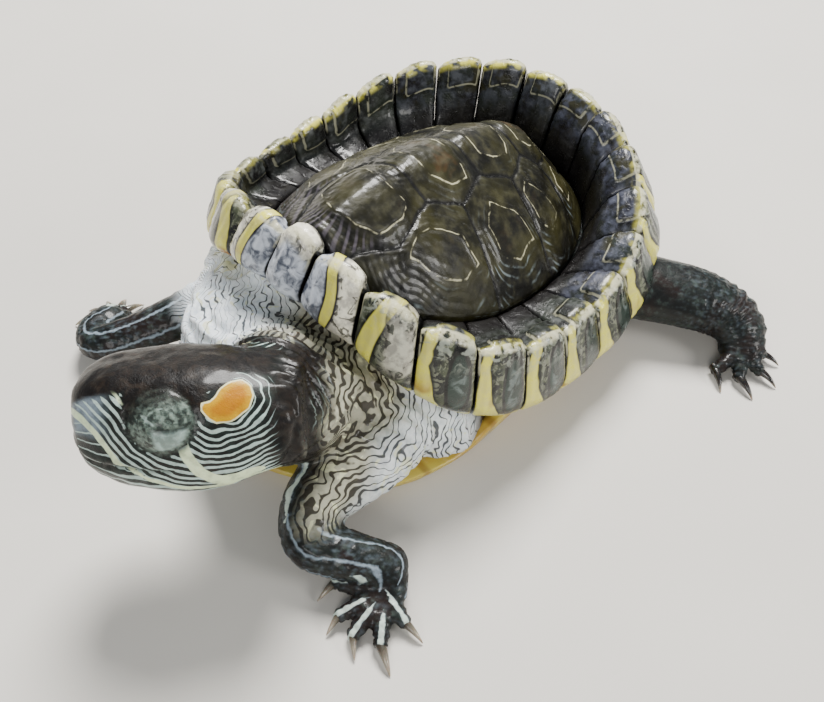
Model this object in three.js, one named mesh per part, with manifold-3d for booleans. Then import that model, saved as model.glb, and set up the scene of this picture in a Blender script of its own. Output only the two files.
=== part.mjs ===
// Red-eared slider turtle with an upturned, curled shell rim, as a still life-size model.
// Millimetres, +Z up. The animal faces -Y and its left side is +X. The origin lies on the
// floor under the middle of the shell; plastron, hands, feet and tail rest on z = 0.
import * as THREE from 'three';
import { mergeVertices } from 'three/addons/utils/BufferGeometryUtils.js';
import Module from 'manifold-3d';

const wasm = await Module();
wasm.setup();

// ---------------------------------------------------------------- driving dimensions
const GAP = 0.3;                 // clearance between neighbouring pieces
const SHELL_CENTRE_Y = -2;       // middle of the rim oval
const RIM_HALF_WIDTH = { left: 45.2, right: 44 };   // crest of the rim from the keel line
const RIM_HALF_LENGTH = { front: 48, rear: 49.8 };  // crest of the rim from the shell's middle
const RIM_SQUARE_FRONT = 3.2;    // superellipse exponents of the crest oval
const RIM_SQUARE_REAR = 1.95;
const MARGINALS_PER_SIDE = 12;
const NUCHAL_HALF_ARC = 4.6;     // half the nuchal plate's width along the crest
const PLATE_THICKNESS = 3;       // horn and bone of the dome plates
const WALL_THICKNESS = 4;        // rim plates at their lower edge
const DOME_HALF_LENGTH = 42.5;   // sunken dome inside the rim
const DOME_HALF_WIDTH = { left: 30, right: 33 };
const DOME_CENTRE_Y = -3.5;
const DOME_SQUARENESS = 2.4;
const AREOLA_RISE = 1.3;         // how far each dome plate's middle stands up
const PLASTRON_TOP = 4;          // upper face of the belly plate
const HEAD_LENGTH = 34.2;
const HEAD_ROLL = THREE.MathUtils.degToRad(25);   // the head leans to its right, left eye up
const EYE_RADIUS = 4.6;

// Heights and offsets round the shell: [share of the way from front (0) to rear (1), mm].
const CREST_HEIGHT = {
  left: [[0, 50.6], [0.1, 48.4], [0.2, 43], [0.3, 35], [0.4, 29], [0.5, 26.5], [0.6, 27.5],
    [0.7, 32], [0.8, 36.5], [0.9, 39.5], [1, 39.5]],
  right: [[0, 50.6], [0.1, 47], [0.2, 42], [0.3, 35.5], [0.4, 32.5], [0.5, 32.5], [0.6, 34],
    [0.7, 37], [0.8, 39], [0.9, 40.5], [1, 39.5]],
};
const BASE_HEIGHT = [[0, 36], [0.1, 31.5], [0.2, 23], [0.3, 14.5], [0.4, 9], [0.52, 7.2],
  [0.6, 9.5], [0.68, 15], [0.78, 19.5], [1, 22]];
const BASE_OUTSET = [[0, 4.5], [0.2, 3.2], [0.4, 3], [0.52, 3.4], [0.7, 5], [1, 6]];
const LEDGE_WIDTH = {
  left: [[0, 3], [0.2, 4], [0.38, 6.5], [0.5, 8], [0.75, 7.5], [1, 5.5]],
  right: [[0, 3], [0.2, 3], [0.5, 2.5], [0.8, 3], [1, 5.5]],
};
const LEDGE_DROP = {
  left: [[0, 3], [0.2, 4], [0.4, 3], [0.6, 2.5], [0.8, 3.5], [1, 6]],
  right: [[0, 3], [0.2, 6], [0.4, 10], [0.75, 10], [1, 6]],
};
const VALLEY_HEIGHT = [[0, 45.5], [0.1, 39.5], [0.2, 33], [0.3, 28], [0.4, 24.5],
  [0.55, 21], [0.75, 19], [1, 21]];
const KEEL_HEIGHT = [[-46, 49.5], [-27, 52], [-6, 49.3], [13, 44], [24, 38.5], [32, 29.5],
  [39, 21.5]];

// ---------------------------------------------------------------- materials
const horn = (colour) => new THREE.MeshStandardMaterial({ color: colour, roughness: 0.35, metalness: 0 });
const skin = (colour) => new THREE.MeshStandardMaterial({ color: colour, roughness: 0.6, metalness: 0 });
const finish = {
  dome: horn('#3a3826'),
  rim: horn('#6f7a5c'),
  belly: horn('#e0c95a'),
  head: skin('#2f3a30'),
  limb: skin('#2b3431'),
  trunk: skin('#8f938a'),
  eye: new THREE.MeshStandardMaterial({ color: '#20241c', roughness: 0.1, metalness: 0 }),
};

// ---------------------------------------------------------------- curves and helpers
const mix = (a, b, t) => a + (b - a) * t;
const clamp = (v, low, high) => Math.min(high, Math.max(low, v));
const rad = (degrees) => degrees * Math.PI / 180;

/** Smooth curve through [position, value] stations. */
function along(stations, at) {
  const last = stations.length - 1;
  if (at <= stations[0][0]) return stations[0][1];
  if (at >= stations[last][0]) return stations[last][1];
  let i = 0;
  while (stations[i + 1][0] < at) i += 1;
  const slope = (k) => {
    const a = stations[Math.max(k - 1, 0)];
    const b = stations[Math.min(k + 1, last)];
    return (b[1] - a[1]) / (b[0] - a[0]);
  };
  const [x0, y0] = stations[i];
  const [x1, y1] = stations[i + 1];
  const h = x1 - x0;
  const t = (at - x0) / h;
  return (1 + 2 * t) * (1 - t) ** 2 * y0 + t * (1 - t) ** 2 * h * slope(i)
    + t * t * (3 - 2 * t) * y1 + t * t * (t - 1) * h * slope(i + 1);
}

/** A closed mesh from vertices and triangles, turned so that its faces point out. */
function closedGeometry(points, triangles) {
  let volume = 0;
  for (const [a, b, c] of triangles) {
    volume += points[a].dot(points[b].clone().cross(points[c])) / 6;
  }
  const index = triangles.flatMap(([a, b, c]) => (volume < 0 ? [a, c, b] : [a, b, c]));
  const geometry = new THREE.BufferGeometry();
  geometry.setAttribute('position', new THREE.Float32BufferAttribute(points.flatMap((p) => [p.x, p.y, p.z]), 3));
  geometry.setIndex(index);
  return geometry;
}

/** Skins equal rings of points into a closed tube with fanned ends. */
function loft(rings) {
  const n = rings[0].length;
  const points = rings.flat();
  const triangles = [];
  for (let k = 0; k + 1 < rings.length; k += 1) {
    for (let i = 0; i < n; i += 1) {
      const a = k * n + i;
      const b = k * n + (i + 1) % n;
      triangles.push([a, b, b + n], [a, b + n, a + n]);
    }
  }
  const middle = (ring) => ring.reduce((sum, p) => sum.add(p), new THREE.Vector3()).divideScalar(n);
  const end = (rings.length - 1) * n;
  const head = points.push(middle(rings[0])) - 1;
  const tail = points.push(middle(rings.at(-1))) - 1;
  for (let i = 0; i < n; i += 1) {
    const j = (i + 1) % n;
    triangles.push([head, j, i], [tail, end + i, end + j]);
  }
  return closedGeometry(points, triangles);
}

function toSolid(geometry) {
  const bare = geometry.clone();
  bare.deleteAttribute('normal');
  bare.deleteAttribute('uv');
  const merged = mergeVertices(bare);
  return new wasm.Manifold(new wasm.Mesh({
    numProp: 3,
    vertProperties: Float32Array.from(merged.attributes.position.array),
    triVerts: Uint32Array.from(merged.index.array),
  }));
}

function toGeometry(solid) {
  const mesh = solid.getMesh();
  const geometry = new THREE.BufferGeometry();
  geometry.setAttribute('position', new THREE.BufferAttribute(Float32Array.from(mesh.vertProperties), 3));
  geometry.setIndex(new THREE.BufferAttribute(Uint32Array.from(mesh.triVerts), 1));
  return geometry;
}

/** The main body of a solid, without the chips that a cut may leave. */
const largest = (solid) => solid.decompose().sort((a, b) => b.volume() - a.volume())[0];

const group = new THREE.Group();
function add(name, geometry, material) {
  const mesh = new THREE.Mesh(geometry, material);
  mesh.name = name;
  group.add(mesh);
}

// ---------------------------------------------------------------- shell oval
// Bearings are measured at the shell's centre: 0 is the front, 90 degrees the animal's left
// side, -90 its right side and 180 the rear.
const sideOf = (bearing) => (Math.sin(bearing) >= 0 ? 'left' : 'right');

function ovalRadius(bearing, halfWidth, halfLength, exponent) {
  const across = Math.abs(Math.sin(bearing) / halfWidth) ** exponent;
  const lengthwise = Math.abs(Math.cos(bearing) / halfLength) ** exponent;
  return (across + lengthwise) ** (-1 / exponent);
}

function crestRadius(bearing) {
  const rearward = (1 - Math.cos(bearing)) / 2;
  const exponent = mix(RIM_SQUARE_FRONT, RIM_SQUARE_REAR, rearward);
  const halfLength = Math.cos(bearing) > 0 ? RIM_HALF_LENGTH.front : RIM_HALF_LENGTH.rear;
  return ovalRadius(bearing, RIM_HALF_WIDTH[sideOf(bearing)], halfLength, exponent);
}

/** Bearings at equal steps of length along the crest, from the front to the rear. */
const crestMarks = (() => {
  const steps = 720;
  const marks = [{ bearing: 0, length: 0 }];
  const at = (b) => new THREE.Vector2(crestRadius(b) * Math.sin(b), crestRadius(b) * Math.cos(b));
  for (let i = 1; i <= steps; i += 1) {
    const bearing = Math.PI * i / steps;
    const length = marks[i - 1].length + at(bearing).distanceTo(at(marks[i - 1].bearing));
    marks.push({ bearing, length });
  }
  return marks;
})();
const HALF_CREST = crestMarks.at(-1).length;
const bearingAt = (length) => crestMarks.find((m) => m.length >= length - 1e-6)?.bearing ?? Math.PI;
const shareAt = (bearing) => {
  const turn = Math.abs(Math.atan2(Math.sin(bearing), Math.cos(bearing)));
  return crestMarks[Math.round(turn / Math.PI * 720)].length / HALF_CREST;
};

const domeEdgeRadius = (bearing) => {
  const y = crestRadius(bearing) * -Math.cos(bearing) + SHELL_CENTRE_Y;
  const x = crestRadius(bearing) * Math.sin(bearing);
  const own = Math.atan2(x, DOME_CENTRE_Y - y);
  const r = ovalRadius(own, DOME_HALF_WIDTH[sideOf(own)], DOME_HALF_LENGTH, DOME_SQUARENESS);
  return { x: r * Math.sin(own), y: DOME_CENTRE_Y - r * Math.cos(own) };
};

/** The rim's cross-section at a bearing: the named points of one upright slice. */
function rimSlice(bearing, lift = 0) {
  const share = shareAt(bearing);
  const side = sideOf(bearing);
  const out = new THREE.Vector3(Math.sin(bearing), -Math.cos(bearing), 0);
  const centre = new THREE.Vector3(0, SHELL_CENTRE_Y, 0);
  const at = (radius, z) => centre.clone().addScaledVector(out, radius).setZ(z);
  const crest = along(CREST_HEIGHT[side], share) + lift;
  const base = along(BASE_HEIGHT, share);
  const radius = crestRadius(bearing);
  const foot = radius + along(BASE_OUTSET, share);
  const ledge = along(LEDGE_WIDTH[side], share);
  const drop = along(LEDGE_DROP[side], share);
  const valley = along(VALLEY_HEIGHT, share);
  const edge = domeEdgeRadius(bearing);
  const inner = Math.hypot(edge.x, edge.y - SHELL_CENTRE_Y) + 0.6;
  const ledgeRadius = Math.max(radius - ledge, inner + 0.4);
  return [
    at(foot, base),
    at(foot + 1.6, mix(base, crest, 0.35)),
    at(mix(foot, radius, 0.75) + 1.2, mix(base, crest, 0.75)),
    at(radius + 0.5, crest - 0.7),
    at(radius - 0.7, crest),
    at(ledgeRadius, Math.max(crest - drop, valley + 1)),
    at(inner, valley),
    at(inner, valley - PLATE_THICKNESS),
    at(foot - WALL_THICKNESS, base),
  ];
}

const SEAM_TURN = GAP / 2 / RIM_HALF_WIDTH.right;   // half a seam, as a bearing
// Each rim plate rises towards its rear corner and drops at the next seam.
const SCALLOP = [[0, -1.2], [0.35, 0], [0.8, 0.6], [1, -0.4]];
function rimPlate(from, to) {
  const trim = Math.sign(to - from) * SEAM_TURN;
  const start = from + trim;
  const stop = to - trim;
  return loft(SCALLOP.map(([t, lift]) => rimSlice(mix(start, stop, t), lift)));
}

/** The rim with its seams filled and a gap's thickness added, to trim the soft parts. */
const ROOM = 0.45;
const swell = (ring) => {
  const middle = ring.reduce((sum, p) => sum.add(p), new THREE.Vector3()).divideScalar(ring.length);
  return ring.map((p) => {
    const away = p.clone().sub(middle);
    return p.clone().addScaledVector(away, 2 * ROOM / away.length());
  });
};
function rimRoom(from, to) {
  const overlap = rad(0.3);
  return toSolid(loft(SCALLOP.map(([t, lift]) => swell(rimSlice(mix(from - overlap, to + overlap, t), lift)))));
}

const nuchalEdge = bearingAt(NUCHAL_HALF_ARC);
add('nuchal', loft([-1, -0.4, 0.4, 1].map((t) => {
  const trimmed = nuchalEdge - SEAM_TURN;
  return rimSlice(t * trimmed, Math.abs(t) < 1 ? 0.6 : -0.4);
})), finish.rim);

const seamBearings = Array.from({ length: MARGINALS_PER_SIDE + 1 }, (_, k) => bearingAt(
  mix(NUCHAL_HALF_ARC, HALF_CREST, k / MARGINALS_PER_SIDE),
));
const rimSpaces = [rimRoom(-nuchalEdge, nuchalEdge)];
for (const [side, sign] of [['left', 1], ['right', -1]]) {
  for (let k = 0; k < MARGINALS_PER_SIDE; k += 1) {
    const name = `marginal_${side}_${String(k + 1).padStart(2, '0')}`;
    const [from, to] = [sign * seamBearings[k], sign * seamBearings[k + 1]];
    add(name, rimPlate(from, to), finish.rim);
    rimSpaces.push(rimRoom(Math.min(from, to), Math.max(from, to)));
  }
}

// ---------------------------------------------------------------- dome
const domeHalfWidth = (y, side) => {
  const share = Math.min(Math.abs(y - DOME_CENTRE_Y) / DOME_HALF_LENGTH, 1);
  return DOME_HALF_WIDTH[side] * (1 - share ** DOME_SQUARENESS) ** (1 / DOME_SQUARENESS);
};

function valleyHeight(x, y) {
  const bearing = Math.atan2(x, SHELL_CENTRE_Y - y);
  return along(VALLEY_HEIGHT, shareAt(bearing));
}

/** Height of the dome's general surface: a keel with flanks that steepen to the valley. */
function domeHeight(x, y) {
  const side = x >= 0 ? 'left' : 'right';
  const width = Math.max(domeHalfWidth(y, side), 0.01);
  const t = clamp(Math.abs(x) / width, 0, 1);
  const edge = valleyHeight(Math.sign(x || 1) * width, y);
  return edge + (along(KEEL_HEIGHT, y) - edge) * (1 - 0.74 * t - 0.26 * t ** 4);
}

const onDomeEdge = (y, side) => new THREE.Vector2((side === 'left' ? 1 : -1) * domeHalfWidth(y, side), y);

/** A dome plate: its outline, a raised areola near its rear, and the same outline below. */
function domePlate(outline, areola, areolaShare = 0.5) {
  const middle = outline.reduce((sum, p) => sum.add(p), new THREE.Vector2()).divideScalar(outline.length);
  const shrink = outline.map((p) => {
    const inward = middle.clone().sub(p);
    return p.clone().addScaledVector(inward, 0.24 / inward.length());
  });
  const n = shrink.length;
  const rise = (p, extra) => new THREE.Vector3(p.x, p.y, domeHeight(p.x, p.y) + extra);
  const inner = shrink.map((p) => p.clone().lerp(areola, 1 - areolaShare));
  const points = [
    ...shrink.map((p) => rise(p, 0)),
    ...inner.map((p) => rise(p, AREOLA_RISE)),
    ...shrink.map((p) => rise(p, -PLATE_THICKNESS)),
    rise(areola, AREOLA_RISE * 1.2),
    rise(areola, -PLATE_THICKNESS),
  ];
  const triangles = [];
  for (let i = 0; i < n; i += 1) {
    const j = (i + 1) % n;
    triangles.push([i, j, n + j], [i, n + j, n + i], [n + i, n + j, 3 * n]);
    triangles.push([j, i, 2 * n + i], [j, 2 * n + i, 2 * n + j], [2 * n + j, 2 * n + i, 3 * n + 1]);
  }
  return closedGeometry(points, triangles);
}

// Seams across the keel, half-widths of the vertebral plates at and between those seams, and
// the seams between costal plates, which start at the widest part of a vertebral.
const KEEL_SEAMS = [-46, -21, -2, 16, 28, 38.6];
const SEAM_HALF_WIDTH = [6.5, 9, 8.5, 8, 7, 7];
const COSTAL_SEAMS = [{ y: -12, edge: -17, x: 12 }, { y: 7, edge: 5, x: 12 }, { y: 21, edge: 21, x: 11 }];
const FRONT_WIDE = { x: 12, y: -33 };
const REAR_WIDE = { x: 10, y: 33 };
const wide = [FRONT_WIDE, ...COSTAL_SEAMS.map(({ x, y }) => ({ x, y })), REAR_WIDE];
const v2 = (x, y) => new THREE.Vector2(x, y);

for (let k = 0; k < 5; k += 1) {
  const [front, rear] = [KEEL_SEAMS[k], KEEL_SEAMS[k + 1]];
  const [a, b] = [SEAM_HALF_WIDTH[k], SEAM_HALF_WIDTH[k + 1]];
  const w = wide[k];
  const outline = [v2(0, front), v2(a, front), v2(w.x, w.y), v2(b, rear),
    v2(0, rear), v2(-b, rear), v2(-w.x, w.y), v2(-a, front)];
  if (k === 0) {
    outline[1].y = DOME_CENTRE_Y - DOME_HALF_LENGTH * 0.985;
    outline[7].y = outline[1].y;
  }
  add(`vertebral_${k + 1}`, domePlate(outline, v2(0, mix(front, rear, 0.64))), finish.dome);
}

for (const side of ['left', 'right']) {
  const sign = side === 'left' ? 1 : -1;
  const edgeRun = (from, to, count) => Array.from(
    { length: count },
    (_, i) => onDomeEdge(mix(from, to, i / (count - 1)), side),
  );
  const frontCorner = KEEL_SEAMS[0] + 1.5;
  const rearCorner = KEEL_SEAMS[5] - 0.2;
  const ends = [frontCorner, ...COSTAL_SEAMS.map((s) => s.edge), rearCorner];
  for (let k = 0; k < 4; k += 1) {
    const inside = k === 3
      ? [v2(sign * wide[3].x, wide[3].y), v2(sign * SEAM_HALF_WIDTH[4], KEEL_SEAMS[4]),
        v2(sign * REAR_WIDE.x, REAR_WIDE.y), v2(sign * SEAM_HALF_WIDTH[5], KEEL_SEAMS[5])]
      : [v2(sign * wide[k].x, wide[k].y), v2(sign * SEAM_HALF_WIDTH[k + 1], KEEL_SEAMS[k + 1]),
        v2(sign * wide[k + 1].x, wide[k + 1].y)];
    if (k === 0) inside.unshift(v2(sign * SEAM_HALF_WIDTH[0], DOME_CENTRE_Y - DOME_HALF_LENGTH * 0.985));
    const rim = edgeRun(ends[k + 1], ends[k], k === 0 ? 5 : 3);
    const outline = [...inside, ...rim];
    const middle = outline.reduce((sum, p) => sum.add(p), v2(0, 0)).divideScalar(outline.length);
    const areola = v2(middle.x * 0.92, middle.y + 2);
    add(`costal_${side}_${k + 1}`, domePlate(outline, areola), finish.dome);
  }
}

// ---------------------------------------------------------------- plastron with its bridges
// [y, half-width at the floor, edge height, edge overhang]; the bridges climb to the rim.
const PLASTRON_STATIONS = [
  [-75, 3, 2.6, 0.6], [-73.5, 9, 3, 0.8], [-70, 17, 3, 0.8], [-63, 29, 3, 0.8], [-54, 35.5, 3, 0.8],
  [-45, 38.8, 3, 0.8], [-38, 40.2, 3.2, 0.8], [-33, 40.6, 6, 1.2], [-22, 41, 9.2, 2.2],
  [-8, 41.2, 7, 2.6], [6, 41, 6.6, 2.6], [14, 40, 6.4, 2.2], [19, 34, 3.4, 0.8], [28, 30, 3.2, 0.8],
  [36, 24, 3, 0.8], [41, 14, 2.8, 0.8], [42.5, 4, 2.4, 0.6],
];
function plastronRing([y, halfWidth, edge, overhang], grow = 0) {
  const half = [
    [halfWidth - 1.2, 0], [halfWidth + 0.2, 1], [halfWidth + 0.4, 2.2],
    [halfWidth + overhang, edge], [halfWidth + overhang - 2.6 - 2 * grow, edge],
    [halfWidth - 4 - 2 * grow, Math.min(edge, PLASTRON_TOP)],
  ].map(([x, z]) => [x + grow, z + grow]);
  const clipped = half.map(([x, z]) => [Math.max(x, 0.6), z]);
  const right = clipped.map(([x, z]) => [-x, z]).reverse();
  return [...clipped, ...right].map(([x, z]) => new THREE.Vector3(x, y, z));
}
add('plastron', loft(PLASTRON_STATIONS.map((s) => plastronRing(s))), finish.belly);
const plastronRoom = toSolid(loft(PLASTRON_STATIONS.map(([y, ...rest]) => plastronRing(
  [y + Math.sign(y) * ROOM, ...rest],
  ROOM,
))));
const shellRoom = wasm.Manifold.union([...rimSpaces, plastronRoom]);

// ---------------------------------------------------------------- trunk
// The body inside the shell, flaring into soft skin at the front and rear openings.
const FRONT_OPENING = rad(47);
const REAR_OPENING = rad(122);
const DOME_ROOM = 2;             // space under the dome plates' faceted undersides
function trunkSolid(grow) {
  const sectors = 36;
  const rings = [];
  const openness = (turn) => Math.max(
    1 - clamp((turn - FRONT_OPENING) / rad(10), 0, 1),
    clamp((turn - REAR_OPENING) / rad(10), 0, 1),
  );
  for (let i = 0; i < sectors; i += 1) {
    const bearing = 2 * Math.PI * i / sectors;
    const turn = Math.abs(Math.atan2(Math.sin(bearing), Math.cos(bearing)));
    const slice = rimSlice(bearing);
    const radiusOf = (p) => Math.hypot(p.x, p.y - SHELL_CENTRE_Y);
    const foot = radiusOf(slice[0]);
    const inner = radiusOf(slice[7]);
    const base = slice[0].z;
    const open = openness(turn);
    const front = (1 + Math.cos(bearing)) / 2;
    const at = (radius, z) => new THREE.Vector3(
      radius * Math.sin(bearing),
      SHELL_CENTRE_Y - radius * Math.cos(bearing),
      z,
    );
    const under = (share) => {
      const p = at(inner * share, 0);
      return p.setZ(domeHeight(p.x, p.y) - PLATE_THICKNESS - DOME_ROOM + grow);
    };
    const bridge = foot - WALL_THICKNESS - 3.4;
    const lipRadius = mix(bridge, foot - 1.5, open);
    const lipHeight = mix(base - 0.6, base - 0.7, open);
    const bellyRadius = mix(bridge - 0.4, foot + mix(-6, 3, front), open);
    const bellyHeight = mix(Math.min(base - 1, 7), mix(base * 0.6, base * 0.55, front), open);
    const floorRadius = mix(bridge - 1.2, foot + mix(-12, 5, front), open);
    rings.push([
      under(0.33), under(0.66), under(0.94),
      at(inner + 0.2, slice[7].z - DOME_ROOM + grow),
      at(lipRadius + grow, lipHeight + grow * 0.4),
      at(bellyRadius + grow, bellyHeight),
      at(floorRadius + grow, PLASTRON_TOP + 1.6),
      at(floorRadius - 1.5 + grow, PLASTRON_TOP + GAP),
    ]);
  }
  const n = rings[0].length;
  const points = rings.flat();
  const top = points.push(new THREE.Vector3(0, SHELL_CENTRE_Y,
    domeHeight(0, SHELL_CENTRE_Y) - PLATE_THICKNESS - DOME_ROOM + grow)) - 1;
  const bottom = points.push(new THREE.Vector3(0, SHELL_CENTRE_Y, PLASTRON_TOP + GAP)) - 1;
  const triangles = [];
  for (let i = 0; i < sectors; i += 1) {
    const a = i * n;
    const b = ((i + 1) % sectors) * n;
    triangles.push([top, a, b], [bottom, b + n - 1, a + n - 1]);
    for (let k = 0; k + 1 < n; k += 1) {
      triangles.push([a + k, a + k + 1, b + k + 1], [a + k, b + k + 1, b + k]);
    }
  }
  return toSolid(closedGeometry(points, triangles));
}
const trunk = largest(trunkSolid(0).subtract(shellRoom));
const trunkClearance = trunkSolid(GAP);
add('trunk', toGeometry(trunk), finish.trunk);

// ---------------------------------------------------------------- limbs, neck and tail
/** Rings along a curve through stations [x, y, z, half-width, half-height]. */
function tubeRings(stations, sides, steps) {
  const path = new THREE.CatmullRomCurve3(stations.map(([x, y, z]) => new THREE.Vector3(x, y, z)), false, 'centripetal');
  const size = (t, k) => along(stations.map((s, i) => [i / (stations.length - 1), s[k]]), t);
  return Array.from({ length: steps + 1 }, (_, i) => {
    const t = i / steps;
    const ahead = path.getTangent(t);
    const across = new THREE.Vector3(0, 0, 1).cross(ahead).normalize();
    const up = ahead.clone().cross(across);
    const centre = path.getPoint(t);
    return Array.from({ length: sides }, (_, j) => {
      const turn = 2 * Math.PI * (j + 0.5) / sides;
      return centre.clone()
        .addScaledVector(across, size(t, 3) * Math.cos(turn))
        .addScaledVector(up, size(t, 4) * Math.sin(turn));
    });
  });
}
const tube = (stations, sides = 10, steps = 6) => toSolid(loft(tubeRings(stations, sides, steps)));
const above = (solid) => solid.intersect(toSolid(
  new THREE.BoxGeometry(400, 400, 120).translate(0, 0, 60),
));
/** Two pieces of a limb, parted by a thin plane cut at a point, square to a direction. */
function part(solid, at, direction) {
  const along3 = direction.clone().normalize();
  const turn = new THREE.Quaternion().setFromUnitVectors(new THREE.Vector3(0, 0, 1), along3);
  const half = (sign) => {
    const box = new THREE.BoxGeometry(200, 200, 200);
    box.translate(0, 0, sign * (100 + GAP / 2));
    box.applyQuaternion(turn);
    box.translate(at.x, at.y, at.z);
    return toSolid(box);
  };
  return [solid.intersect(half(-1)), solid.intersect(half(1))];
}

/** One digit with its claw: a knuckled finger that tapers to a horn point on the floor. */
function digit([x0, y0, z0], [x1, y1], thickness) {
  const at = (t) => [mix(x0, x1, t), mix(y0, y1, t)];
  const [mx, my] = at(0.45);
  const [cx, cy] = at(0.7);
  return toSolid(loft(tubeRings([
    [x0, y0, z0, thickness * 1.15, thickness],
    [mx, my, z0 * 0.9 + 0.4, thickness * 0.95, thickness * 0.9],
    [cx, cy, 2.2, thickness * 0.6, thickness * 0.65],
    [x1, y1, 0.45, 0.35, 0.4],
  ], 6, 3)));
}

/** A hand or foot: a flattened palm with its digits, trimmed level with the floor. */
function paw({ wrist, palm, tips, palmSize, thickness }, joint, direction) {
  let [, solid] = part(tube([
    [...wrist, palmSize * 0.75, palmSize * 0.62],
    [...palm, palmSize, palmSize * 0.5],
    [mix(wrist[0], palm[0], 1.7), mix(wrist[1], palm[1], 1.7), palm[2] * 0.8, palmSize * 0.7, palmSize * 0.35],
  ], 10, 4), joint, direction);
  for (const tip of tips) solid = solid.add(digit(palm, tip, thickness));
  return above(solid);
}

const LIMBS = {
  foreleg_left: {
    nodes: ['upper_arm_left', 'forearm_left', 'hand_left'],
    path: [[24, -42, 13, 12, 7.5], [29, -58, 13.5, 9.5, 8], [28, -73, 11, 7.6, 6.8], [32.5, -80.6, 8.4, 6, 5.6],
      [40.5, -77.4, 7.2, 5.4, 4.8], [47.6, -73, 5.6, 5, 4.2]],
    cuts: [0.56],
    paw: { wrist: [47.8, -73, 5], palm: [52, -78.6, 2.9], palmSize: 6, thickness: 2.1,
      tips: [[40.6, -86.8], [47, -90.6], [54.6, -90.4], [61.8, -87.8], [62.2, -78.6]] },
  },
  foreleg_right: {
    nodes: ['upper_arm_right', 'forearm_right', 'hand_right'],
    path: [[-24, -42, 13, 11, 7.5], [-27, -54, 13.5, 8, 6.6], [-31.5, -63, 11.5, 6, 5.2], [-37, -72.5, 8.6, 5, 4.4],
      [-42.5, -79, 6.6, 4.6, 4.1], [-47, -76.5, 5.6, 4.6, 3.8], [-48, -71.5, 4.8, 4.6, 3.5]],
    cuts: [0.5],
    paw: { wrist: [-48, -71.4, 4.4], palm: [-50, -69.4, 2.4], palmSize: 5, thickness: 2,
      tips: [[-56.5, -77.6], [-58, -72.5], [-57.5, -67.5], [-54.5, -63.5], [-49.8, -61.5]] },
  },
  hindleg_left: {
    nodes: ['thigh_left', 'shank_left', 'foot_left'],
    path: [[33, 20, 13, 12, 8], [45, 26, 12.4, 9.5, 8.2], [57, 33, 11, 8, 7.2], [64, 36, 8.2, 6.4, 5.8],
      [69, 35, 5.4, 5.6, 4.6]],
    cuts: [0.5],
    paw: { wrist: [69, 35, 4.8], palm: [73.5, 31, 3.1], palmSize: 6.6, thickness: 2.1,
      tips: [[75.5, 20.4], [82.6, 24], [85.2, 31.5], [82.4, 38.6]] },
  },
  hindleg_right: {
    nodes: ['thigh_right', 'shank_right', 'foot_right'],
    path: [[-33, 20, 13, 12, 8], [-44, 27, 13, 9.5, 8.2], [-52, 34, 11, 7.8, 7], [-58, 35, 8, 6.4, 5.6],
      [-61, 31, 5.4, 5.6, 4.6]],
    cuts: [0.5],
    paw: { wrist: [-61, 31, 4.8], palm: [-63.5, 26, 3.1], palmSize: 6.6, thickness: 2.1,
      tips: [[-61, 13.5], [-67, 14.5], [-71.5, 19.5], [-73, 26.5]] },
  },
};

for (const limb of Object.values(LIMBS)) {
  const whole = largest(above(tube(limb.path, 12, 12).subtract(trunkClearance).subtract(shellRoom)));
  const curve = new THREE.CatmullRomCurve3(limb.path.map(([x, y, z]) => new THREE.Vector3(x, y, z)), false, 'centripetal');
  const [upper, lower] = part(whole, curve.getPoint(limb.cuts[0]), curve.getTangent(limb.cuts[0]));
  const end = curve.getPoint(1);
  const heading = curve.getTangent(1);
  const [forearm] = part(lower, end.clone().addScaledVector(heading, -0.2), heading);
  const hand = paw(limb.paw, end, heading).subtract(tube(limb.path.map(([x, y, z, w, h]) => [x, y, z, w + GAP, h + GAP]), 12, 12)
    .intersect(part(toSolid(new THREE.BoxGeometry(400, 400, 120)), end, heading)[0]));
  add(limb.nodes[0], toGeometry(upper), finish.limb);
  add(limb.nodes[1], toGeometry(forearm), finish.limb);
  add(limb.nodes[2], toGeometry(hand), finish.limb);
}

const TAIL = [[0, 38, 11, 7, 6], [1, 52, 8, 5, 4.6], [5, 62, 4.4, 3.4, 3.4], [12, 69, 2.2, 2.2, 2.2], [19, 72, 1.1, 0.8, 0.9]];
add('tail', toGeometry(largest(above(tube(TAIL, 8, 8).subtract(trunkClearance).subtract(shellRoom)))), finish.limb);

// ---------------------------------------------------------------- head and neck
const HEAD_REAR = new THREE.Vector3(18, -79, 38.5);
const HEAD_AHEAD = new THREE.Vector3(-0.71, -0.704, -0.06).normalize();
const HEAD_LEFT = new THREE.Vector3(-HEAD_AHEAD.y, HEAD_AHEAD.x, 0).normalize()
  .applyAxisAngle(HEAD_AHEAD, HEAD_ROLL);
const HEAD_UP = HEAD_AHEAD.clone().cross(HEAD_LEFT);
// [distance from the occiput, half-width, height above the axis, depth below it]
const HEAD_SECTIONS = [[0, 10.5, 9.6, 9.6], [5, 12.4, 10.6, 11], [12, 13.2, 11, 12], [18, 12.6, 10.8, 11.6],
  [24, 11, 9.6, 10.4],   [29, 9, 8, 8.6], [32, 7, 6.2, 6.8], [33.6, 4.6, 4, 5], [HEAD_LENGTH, 2.4, 2, 3]];
const MOUTH = { height: -4, corner: 13 };
const EYE = { ahead: 14, aside: 8.6, up: 3.8 };

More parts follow.
